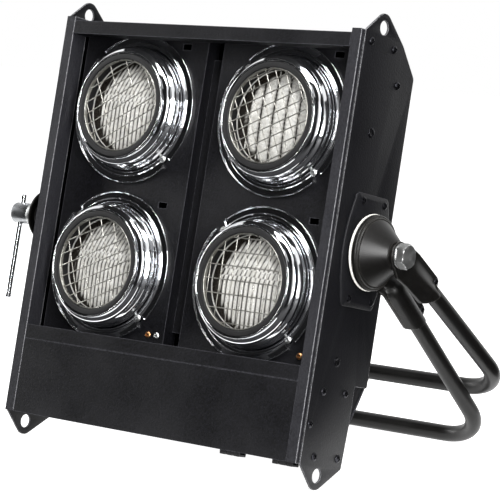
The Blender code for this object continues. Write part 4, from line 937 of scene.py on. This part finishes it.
# %% Tommy bar
BAR_RADIUS, BAR_KNOB, BAR_DX = 3.25, 3.9, 77.0
BAR_FOOT, KNOB_TOP, BAR_TOP = -100.7, -94.7, 22.4
bar = lathe([(0, BAR_FOOT), (BAR_KNOB, BAR_FOOT, 1.2), (BAR_KNOB, KNOB_TOP, 1.0), (BAR_RADIUS, -93.9, 0.4),
             (BAR_RADIUS, 21.6, 0.8), (2.2, BAR_TOP, 0.5), (0, BAR_TOP)], 4, False)
bar_place = ABOUT_PIVOT @ Matrix.Translation((-HALF_WIDTH - BAR_DX, 0, 0))
add_piece("tommy_bar", bar, chrome, "tommy_bar", bar_place, 40)
print("bar from", BAR_FOOT, "to", BAR_TOP)

# %% [markdown]
# ## Yoke tubes
# Both yokes are bent from one steel tube each. A circle carried along a path keeps its roundness
# through the bends, and 32 sides are enough for the long soft highlight on a tube.

# %% Yoke tubes
TUBE_RADIUS, BEND_RADIUS, TUBE_SIDES = 9.25, 60.0, 32
INNER_REACH, OUTER_REACH = 340.0, 283.0
INNER_ARM_DX, OUTER_ARM_DX = 13.5, 50.0
INNER_START, OUTER_START, GRIPPED = 70.0, 69.0, 40
DROP_BETWEEN = 6.35
inner_drop = math.asin((pivot.z * 1000 - TUBE_RADIUS) / INNER_REACH)
outer_drop = inner_drop - math.radians(DROP_BETWEEN)
YOKE_PLACE = {}
for body, drop in (("floor_stand", inner_drop), ("outer_yoke", outer_drop)):
    YOKE_PLACE[body] = Matrix.Translation(pivot) @ Matrix.Rotation(-drop, 4, "X") @ TO_METRES


def bent_tube(arm_dx, start, reach):
    """Carry a circle along a U, from one arm's end to the other's."""
    arm_x = HALF_WIDTH + arm_dx
    half = [(arm_x, start), (arm_x, start + GRIPPED), (arm_x, (start + reach) / 2)]
    half += arc((arm_x - BEND_RADIUS, reach - BEND_RADIUS), BEND_RADIUS, 0, 90, 16)
    path = half + [(-x, y) for x, y in reversed(half)]
    rings = []
    for index, (x, y) in enumerate(path):
        before = Vector(path[max(index - 1, 0)])
        after = Vector(path[min(index + 1, len(path) - 1)])
        heading = (after - before).normalized()
        ring = []
        for side in range(TUBE_SIDES):
            angle = 2 * math.pi * side / TUBE_SIDES
            out = TUBE_RADIUS * math.cos(angle)
            ring.append((x + heading.y * out, y - heading.x * out, TUBE_RADIUS * math.sin(angle)))
        rings.append(ring)
    return skinned(rings)


inner_tube = bent_tube(INNER_ARM_DX, INNER_START, INNER_REACH)
outer_tube = bent_tube(OUTER_ARM_DX, OUTER_START, OUTER_REACH)
add_piece("inner_yoke_tube", inner_tube, yoke_black, "floor_stand", YOKE_PLACE["floor_stand"])
add_piece("outer_yoke_tube", outer_tube, yoke_black, "outer_yoke", YOKE_PLACE["outer_yoke"])
print("drops", round(math.degrees(inner_drop), 2), round(math.degrees(outer_drop), 2))

# %% [markdown]
# ## Brackets
# A pressed bracket grips each tube's end: an eye on the bolt, a joggle out to the tube and a hump
# pressed over it. The inner one closes round its tube from both sides, the outer one only swells
# slowly from its eye to the tube. The flat blank is cut into a fine grid, and every point is then
# moved out by the joggle and the hump, so the sheet bends as sheet does.

# %% Flat blanks
BRACKET_THICKNESS, BRACKET_HALF, BRACKET_EDGE = 4.0, 20.0, 0.7
GRID = 2


def eased(value, low, high):
    """Return a smooth step from 0 to 1 between two values."""
    share = min(1, max(0, (value - low) / (high - low)))
    return share * share * (3 - 2 * share)


def gridded_blank(length, eye_radius):
    """Make a bracket's flat blank with the bolt's bore, cut into a fine square grid."""
    shoulder = [(12.4, BRACKET_HALF, 5)] if eye_radius < BRACKET_HALF else []
    corners = [(0, -eye_radius), *[(x, -y, radius) for x, y, radius in shoulder],
               (length - 7, 1.5 - BRACKET_HALF, 12), (length + 5, BRACKET_HALF, 7), *shoulder,
               (0, eye_radius)]
    outline = [*arc((0, 0), eye_radius, 90, 270, 24)[:-1], *rounded(corners, 8, False)[:-1]]
    work = bmesh.new()
    work.from_mesh(plate(outline, [arc((0, 0), BOLT_BORE, 0, 352.5, 47)], BRACKET_THICKNESS, BRACKET_EDGE))
    cuts = [((at, 0, 0), (1, 0, 0)) for at in range(10, int(length), GRID)]
    cuts += [((0, at + 0.25, 0), (0, 1, 0)) for at in range(-19, 20, GRID)]
    for place, normal in cuts:
        geometry = [*work.verts, *work.edges, *work.faces]
        bmesh.ops.bisect_plane(work, geom=geometry, dist=0.0005, plane_co=place, plane_no=normal)
    inner = []
    for edge in work.edges:
        span = edge.verts[0].co - edge.verts[1].co
        slanting = abs(span.x) > 0.01 and abs(span.y) > 0.01
        if slanting and len(edge.link_faces) == 2 and edge.calc_face_angle(1) < 0.001:
            inner.append(edge)
    bmesh.ops.dissolve_edges(work, edges=inner, use_verts=False)
    return work


print("grid of", GRID, "mm")

# %% Pressed brackets
HUMP_CENTRE, HUMP_RADIUS, INNER_HUMP_RADIUS = -4.0, 14.0, 11.6
SWELL_HALF, SWELL_START, SWELL_LENGTH, SWELL_DOWN = 18.5, 13, 56, 4.5
CLEAR_OF_PLATE, CLEAR_OF_SHEET, PLATE_END = 5.4, 1.4, (69.5, 78)
SCREW_BACK, SCREW_UP, SCREW_LIFT = 4, 14.4, 0.2


def bracket(eye_dx, flange_dx, arm_dx, joggle, dome, slope, length, eye_radius, swells):
    """Make a bracket with y along the arm, and x outwards from the side plate."""
    work = gridded_blank(length, eye_radius)
    for vert in work.verts:
        along, across, depth = vert.co
        middle = eye_dx + BRACKET_THICKNESS / 2
        middle += (flange_dx - middle) * eased(along, *joggle)
        share = depth / (BRACKET_THICKNESS / 2)
        side, radius = (1, HUMP_RADIUS) if depth > 0 else (-1, INNER_HUMP_RADIUS)
        back = max(0, dome - along) * slope
        bulge = math.sqrt(max(0, radius ** 2 - (across - HUMP_CENTRE) ** 2 - back ** 2))
        reach = side * (arm_dx - middle) + bulge - BRACKET_THICKNESS / 2
        lift = math.sqrt(max(0, reach) ** 2 + 0.5) - math.sqrt(0.5) if bulge else 0
        if swells and depth > 0:
            near = math.cos(math.pi / 2 * min(1, abs(across - HUMP_CENTRE) / SWELL_HALF)) ** 2
            grown = min(1, max(0, along - SWELL_START) / SWELL_LENGTH)
            lift = (arm_dx + HUMP_RADIUS - middle - SWELL_DOWN) * near * grown
        clear = CLEAR_OF_PLATE - (CLEAR_OF_PLATE - CLEAR_OF_SHEET) * eased(along, *PLATE_END)
        vert.co = (max(clear, middle + depth + share * lift), along, across)
    bmesh.ops.recalc_face_normals(work, faces=work.faces)
    result = bpy.data.meshes.new("bracket")
    work.to_mesh(result)
    work.free()
    return result


INNER_BRACKET = {"eye_dx": 5.3, "flange_dx": 13.5, "arm_dx": INNER_ARM_DX, "joggle": (40, 50), "dome": 58,
                 "slope": 1.0, "length": 119, "eye_radius": 20, "swells": False}
OUTER_BRACKET = {"eye_dx": 42.3, "flange_dx": 47.0, "arm_dx": OUTER_ARM_DX, "joggle": (12, 30), "dome": 60,
                 "slope": 0.42, "length": 76, "eye_radius": 15, "swells": True}
ear_screw = screw(4.0, 2.2, "cross", 30)
for name, body, shape in (("inner_bracket", "floor_stand", INNER_BRACKET),
                          ("outer_bracket", "outer_yoke", OUTER_BRACKET)):
    mesh = bracket(**shape)
    seat = shape["flange_dx"] + BRACKET_THICKNESS / 2 + SCREW_LIFT
    at_ear = Matrix.Translation((seat, shape["length"] - SCREW_BACK, SCREW_UP))
    facing_out = Matrix.Rotation(math.radians(90), 4, "Y")
    for side, outside in OUTSIDE.items():
        place = YOKE_PLACE[body] @ outside
        add_piece(f"{name}_{side}", mesh, yoke_black, body, place, 40)
        add_piece(f"{name}_screw_{side}", ear_screw, screw_black, body, place @ at_ear @ facing_out)
    print(name, "points", len(mesh.vertices))

# %% [markdown]
# ## Fastenings
# Eight black pan heads hold each side plate to the covers inside, two flat rivets the trays, and
# four screws with a hexagon socket each pivot plate. They are small, but a bare plate without them
# reads as a toy. The screws of each plate are one piece.

# %% Screws on the side plates and pivot plates
SIDE_SCREWS = ((17.7, 443.4), (61.3, 442.9), (77.1, 407.4), (26.8, 76.7), (67.6, 77.4), (11.6, 41.8),
               (27.8, 8.5), (71.1, 8.9))
PIVOT_SCREWS = ((-20.5, 51.9), (20.0, 51.9), (-20.5, -51.4), (21.3, -51.4))
RIVETS = ((42.1, 350.7), (43.1, 109.0))
RIVET_DISH = [(0, 0), (5.4, 0), (5.4, 0.5, 0.3), (3.6, 0.9, 0.3), (2.2, 0.3, 0.3), (0, 0.3)]
SCREW_SINK = 0.1
side_head = screw(4.3, 2.3)
socket_head = screw(4.1, 1.5, "hexagon", 10, 3.0)
rivet = lathe(RIVET_DISH, 3, False, [step * 15 for step in range(24)])
side_set = [moved(side_head, y, z, 0, 23 * index) for index, (y, z) in enumerate(SIDE_SCREWS)]
side_set += [moved(rivet, y, z) for y, z in RIVETS]
seat = PIVOT_PLATE_FACE - SCREW_SINK
pivot_set = [moved(socket_head, y, z, seat, 17 * index) for index, (y, z) in enumerate(PIVOT_SCREWS)]
for side, outside in OUTSIDE.items():
    add_piece("side_screws_" + side, joined(*side_set), screw_black, "head", HEAD @ outside @ FACE_RIGHT)
    place = ABOUT_PIVOT @ outside @ FACE_RIGHT
    add_piece("pivot_plate_screws_" + side, joined(*pivot_set), screw_black, "head", place)
print("screws a side", len(SIDE_SCREWS) + len(PIVOT_SCREWS))

# %% [markdown]
# ## Tray screws
# Three small screws hold the trays at their feet: two yellow ones and one plain zinc one between.

# %% Tray screws
TRAY_FOOT_Y, SHANK_DOWN, SHANK_RADIUS = 22.3, 6, 1.9
for number, finish in enumerate((brass, zinc, brass), 1):
    name = f"tray_screw_{number}"
    low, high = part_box(name)
    middle = HEAD.inverted() @ ((low + high) / 2)
    place = HEAD @ Matrix.Translation((middle.x, TRAY_FOOT_Y, middle.z)) @ FACE_FRONT
    shank = rod((0, 0, -SHANK_DOWN), (0, 0, 0.2), SHANK_RADIUS)
    add_piece(name, joined(screw(3.7, 2.0, "cross", 15 * number), shank), finish, "head", place)
print("tray screws", number)

# %% [markdown]
# ## Plugs and clips
# Two low domed plugs close the spare holes in the cover's top, above the upper lamps, and two
# ribbed clips sit under the right half of the foot. Each clip is three blocks on a thinner strip.

# %% Plugs and clips
PLUG_X, PLUG_Y, PLUG_Z = 101.0, 43.0, 448.9
CLIP_AT, CLIP_FROM, CLIP_TO, CLIP_Y = (114.0, 183.0), -13, 13.2, 12
RIB_PITCH, RIB_WIDTH, RIB_FOOT, RIB_DEPTH = 9.2, 7.8, -4.6, 12.0
STRIP_FOOT, STRIP_DEPTH, INTO_FOOT = -3.4, 10.0, 0.3


def clip_block(left, right, foot, depth):
    """Make a block under the foot, with its two lower corners rounded."""
    corners = [(left, foot, 1), (right, foot, 1), (right, INTO_FOOT, 0), (left, INTO_FOOT, 0)]
    return plate(rounded(corners, 3), [], depth)


plug = lathe([(0, 6.4), (7.2, 6.2, 1.5), (9.4, 1.4, 0.8), (9.4, 0), (0, 0)], 4, False)
plugs = [moved(plug, x, PLUG_Y, PLUG_Z) for x in (-PLUG_X, PLUG_X)]
add_piece("cover_plugs", joined(*plugs), socket_plastic, "head", HEAD)
clips = []
for x in CLIP_AT:
    for rib in range(3):
        left = x + CLIP_FROM + RIB_PITCH * rib
        clips.append(clip_block(left, left + RIB_WIDTH, RIB_FOOT, RIB_DEPTH))
    clips.append(clip_block(x + CLIP_FROM, x + CLIP_TO, STRIP_FOOT, STRIP_DEPTH))
place = HEAD @ Matrix.Translation((0, CLIP_Y, 0)) @ FACE_FRONT
add_piece("cable_clips", joined(*clips), socket_plastic, "head", place)
print("plugs and clips", len(plugs) + len(CLIP_AT))

# %% [markdown]
# ## Sockets on the back
# The photograph doesn't show the back. A chain of such heads needs mains in and out and a control
# line in and out, so each locking socket gets what a real one has: a moulded insert with contacts,
# a chamfered mouth and two flange screws.

# %% Sockets and the electrical box
SOCKETS = ("mains_inlet", "mains_outlet", "data_in", "data_out")
for name in SOCKETS:
    finish_node(name, socket_plastic, 0.4)
finish_node("dimmer_module", mill_aluminium, 0.3)
finish_node("terminal_block", socket_plastic, 0.3)

SLANT_FOOT, SLANT_TOP = Vector((0, 83, 37)), Vector((0, 110.4, 96))
INSERT_FOOT, INSERT_TOP, INSERT_RADIUS = -9.9, -6.6, 9.5
CONTACT_CIRCLE, CONTACT_TURNS, CONTACT_RADIUS, CONTACT_TOP = 5.2, (90, 210, 330), 1.0, -3.4
FLANGE_SCREWS, FLANGE_FACE = ((-9.6, 12.2), (9.6, -12.2)), 2.8
slant_up = (SLANT_TOP - SLANT_FOOT).normalized()
slant_out = slant_up.cross(-RIGHT)
slant_turn = Matrix((-RIGHT, slant_up, slant_out)).transposed().to_4x4()
insert = lathe([(0, INSERT_FOOT), (INSERT_RADIUS, INSERT_FOOT), (INSERT_RADIUS, -7.2, 0.5),
                (7.6, INSERT_TOP, 0.4), (0, INSERT_TOP)], 3, False)
contacts = []
for turn in CONTACT_TURNS:
    x, y = CONTACT_CIRCLE * math.cos(math.radians(turn)), CONTACT_CIRCLE * math.sin(math.radians(turn))
    contacts.append(rod((x, y, INSERT_TOP - 0.1), (x, y, CONTACT_TOP), CONTACT_RADIUS, 12, 0.4))
flange_screw = screw(2.2, 1.3, "cross", 30)
flange_screws = [moved(flange_screw, x, y, FLANGE_FACE) for x, y in FLANGE_SCREWS]
middle = (SLANT_FOOT + SLANT_TOP) / 2
for name in SOCKETS:
    low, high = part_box(name)
    x = (HEAD.inverted() @ ((low + high) / 2)).x
    place = HEAD @ Matrix.Translation((x, middle.y, middle.z)) @ slant_turn
    add_piece(name + "_insert", insert, nylon if "data" in name else socket_plastic, "head", place)
    add_piece(name + "_contacts", joined(*contacts), brass, "head", place)
    add_piece(name + "_screws", joined(*flange_screws), zinc, "head", place)
print("sockets", len(SOCKETS))

# %% [markdown]
# ## Louvres and cover screws
# Four sealed lamps make a lot of heat, so the rear cover gets two columns of pressed louvres, low
# ones where cool air comes in and high ones where it leaves. A row of pan heads down each edge
# holds the cover. Both are guesses, in the manner of such heads.

# %% Louvres and cover screws
REAR_FACE = 105.4
BEHIND = HEAD @ Matrix.Translation((0, REAR_FACE, 0)) @ Matrix.Rotation(math.pi, 4, "Z") @ FACE_FRONT
LOUVRE_HALF, LOUVRE_RISE, LOUVRE_ENDS, LOUVRE_STATIONS = 42.0, 4.2, 9, 14
LOUVRE_SECTION = ((0, 0), (-2, 0.55), (-5, 0.9), (-8.5, 1.0), (-8.5, 0.7), (-3, 0))
LOUVRE_X, LOUVRE_Z = 95, (*range(150, 220, 16), *range(330, 400, 16))
COVER_SCREW_X, COVER_SCREW_Z = 194, (130, 220, 310, 400)


def louvre(x, z):
    """Make one pressed hood: a curved strip that leaves the sheet and opens downwards."""
    rings = []
    for index in range(LOUVRE_STATIONS + 1):
        across = LOUVRE_HALF * (2 * index / LOUVRE_STATIONS - 1)
        rise = LOUVRE_RISE * eased(LOUVRE_HALF - abs(across), 0, LOUVRE_ENDS)
        rings.append([(x + across, z + down, rise * share - 0.1) for down, share in LOUVRE_SECTION])
    return skinned(rings)


hoods = [louvre(x, z) for x in (-LOUVRE_X, LOUVRE_X) for z in LOUVRE_Z]
add_piece("cover_louvres", joined(*hoods), powder_black, "head", BEHIND)
edge_screws = [moved(pan_head, x, z) for x in (-COVER_SCREW_X, COVER_SCREW_X) for z in COVER_SCREW_Z]
add_piece("cover_screws", joined(*edge_screws), screw_black, "head", BEHIND)
print("louvres", len(hoods), "cover screws", len(edge_screws))

# %% [markdown]
# ## Camera
# The camera stands at the front right, a little above the head, at the photograph's angle: a long
# lens from two and a half metres, turned by the fitted angles.

# %% Camera
CAMERA_PLACE = (1.53580283, -2.00332524, 0.51282259)
CAMERA_ANGLES = (83.3384789, -1.66742757, 37.46958796)
scene = bpy.context.scene
scene.view_settings.view_transform = "Standard"
camera_data = bpy.data.cameras.new("camera")
camera_data.sensor_width = 36
camera_data.lens = 161.2511
camera_data.shift_x = 0.0004
camera_data.shift_y = 0.00969
camera = bpy.data.objects.new("camera", camera_data)
camera.location = CAMERA_PLACE
camera.rotation_euler = [math.radians(angle) for angle in CAMERA_ANGLES]
scene.collection.objects.link(camera)
scene.camera = camera
print("camera at", [round(value, 2) for value in camera.location])

# %% [markdown]
# ## Studio
# Black metal is drawn by what it mirrors. A tall softbox at the right front gives the hub its
# highlight and falls off towards the left. A narrow one at the left lights the lamps, and a wide
# one above lights the edges. Black cards in front, left, right, above and on the floor, which only
# reflections can see, put the dark bands into the chrome, as a product photographer would.

# %% Lights
def area_light(name, place, target, size, watts):
    """Hang a rectangular softbox and point it at a place."""
    data = bpy.data.lights.new(name, "AREA")
    data.shape = "RECTANGLE"
    data.size, data.size_y = size
    data.energy = watts
    light = bpy.data.objects.new(name, data)
    light.location = place
    light.rotation_euler = (Vector(target) - Vector(place)).to_track_quat("-Z", "Y").to_euler()
    scene.collection.objects.link(light)
    return light


lights = [
    area_light("key_softbox", (1.5, -1.2, 0.75), (0.1, 0, 0.25), (0.3, 1.2), 40),
    area_light("left_strip", (-2.1, -0.6, 0.7), (-0.1, 0, 0.25), (0.3, 1.3), 22),
    area_light("top_softbox", (0.4, -1.0, 2.0), (0, 0, 0.3), (1.4, 0.5), 42),
]
print("lights", len(lights))

# %% Paper floor
def sheet_of(name, corners, material):
    """Make a flat stage sheet from its corners."""
    mesh = bpy.data.meshes.new(name)
    mesh.from_pydata(corners, [], [tuple(range(len(corners)))])
    mesh.materials.append(material)
    stage = bpy.data.objects.new(name, mesh)
    scene.collection.objects.link(stage)
    stage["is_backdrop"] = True
    return stage


def flat(x1, y1, x2, y2, height):
    """Return the corners of a level sheet."""
    return [(x1, y1, height), (x2, y1, height), (x2, y2, height), (x1, y2, height)]


def background_rays(tree):
    """Return 1 for rays that look at the background: camera, glossy and transmission rays."""
    seen = 0
    for kind in ("Camera", "Glossy", "Transmission"):
        ray = add(tree, "ShaderNodeLightPath", output=f"Is {kind} Ray")
        seen = add(tree, "ShaderNodeMath", {0: seen, 1: ray}, operation="MAXIMUM")
    return seen


FLOOR, FLOOR_GLOW = 8, 0.94
paper = bpy.data.materials.new("white_paper_floor")
paper.use_nodes = True
tree = paper.node_tree
tree.nodes.remove(tree.nodes["Principled BSDF"])
matte = add(tree, "ShaderNodeBsdfDiffuse", {"Color": linear("e6e6e6")})
strength = add(tree, "ShaderNodeMath", {0: background_rays(tree), 1: FLOOR_GLOW}, operation="MULTIPLY")
glow = add(tree, "ShaderNodeEmission", {"Strength": strength})
both = add(tree, "ShaderNodeAddShader", {0: matte, 1: glow})
feed(tree, tree.nodes["Material Output"], {"Surface": both})
sheet_of("floor", flat(-FLOOR, -FLOOR, FLOOR, FLOOR, 0), paper)
print("floor", 2 * FLOOR, "m wide")

# %% Cards and world
CARD_FOOT, CARD_TOP = 0.02, 2.6


def wall(x1, y1, x2, y2):
    """Return the corners of an upright card that stands on a line."""
    return [(x1, y1, CARD_FOOT), (x2, y2, CARD_FOOT), (x2, y2, CARD_TOP), (x1, y1, CARD_TOP)]


CARDS = {
    "card_front": wall(-2.4, -3.3, 1.3, -3.3),
    "card_left": wall(-2.4, -3.3, -2.4, -0.95),
    "card_right": wall(2.6, -1.5, 2.6, 4.2),
    "card_above": flat(-2.4, -3.3, 1.3, 0.4, CARD_TOP),
    "card_floor": flat(-2.6, -3.3, 2.6, -0.24, CARD_FOOT),
    "card_side": flat(0.3, -0.24, 2.6, 4.2, CARD_FOOT),
}
card = bpy.data.materials.new("black_card")
card.use_nodes = True
tree = card.node_tree
feed(tree, tree.nodes["Principled BSDF"], {"Base Color": linear("202022"), "Roughness": 1.0})
for name, corners in CARDS.items():
    flag = sheet_of(name, corners, card)
    for rays in ("camera", "diffuse", "shadow", "transmission"):
        setattr(flag, "visible_" + rays, False)

world = bpy.data.worlds.new("white_studio")
scene.world = world
world.use_nodes = True
tree = world.node_tree
strength = add(tree, "ShaderNodeMapRange", {0: background_rays(tree), 3: 0.3})
feed(tree, tree.nodes["Background"], {"Color": (1, 1, 1, 1), "Strength": strength})
print("cards", len(CARDS))

# %% [markdown]
# ## Sizes and the end
# Both boxes are measured, and the last line prints how much room the imported model's box leaves
# round the dressed model, in millimetres. The dressed model has to keep the imported model's size.

# %% Sizes
visual_low, visual_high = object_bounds()
ends = zip([*cad_low, *visual_high], [*visual_low, *cad_high])
print("room inside the packed box, mm", [round((b - a) * 1000, 2) for a, b in ends])
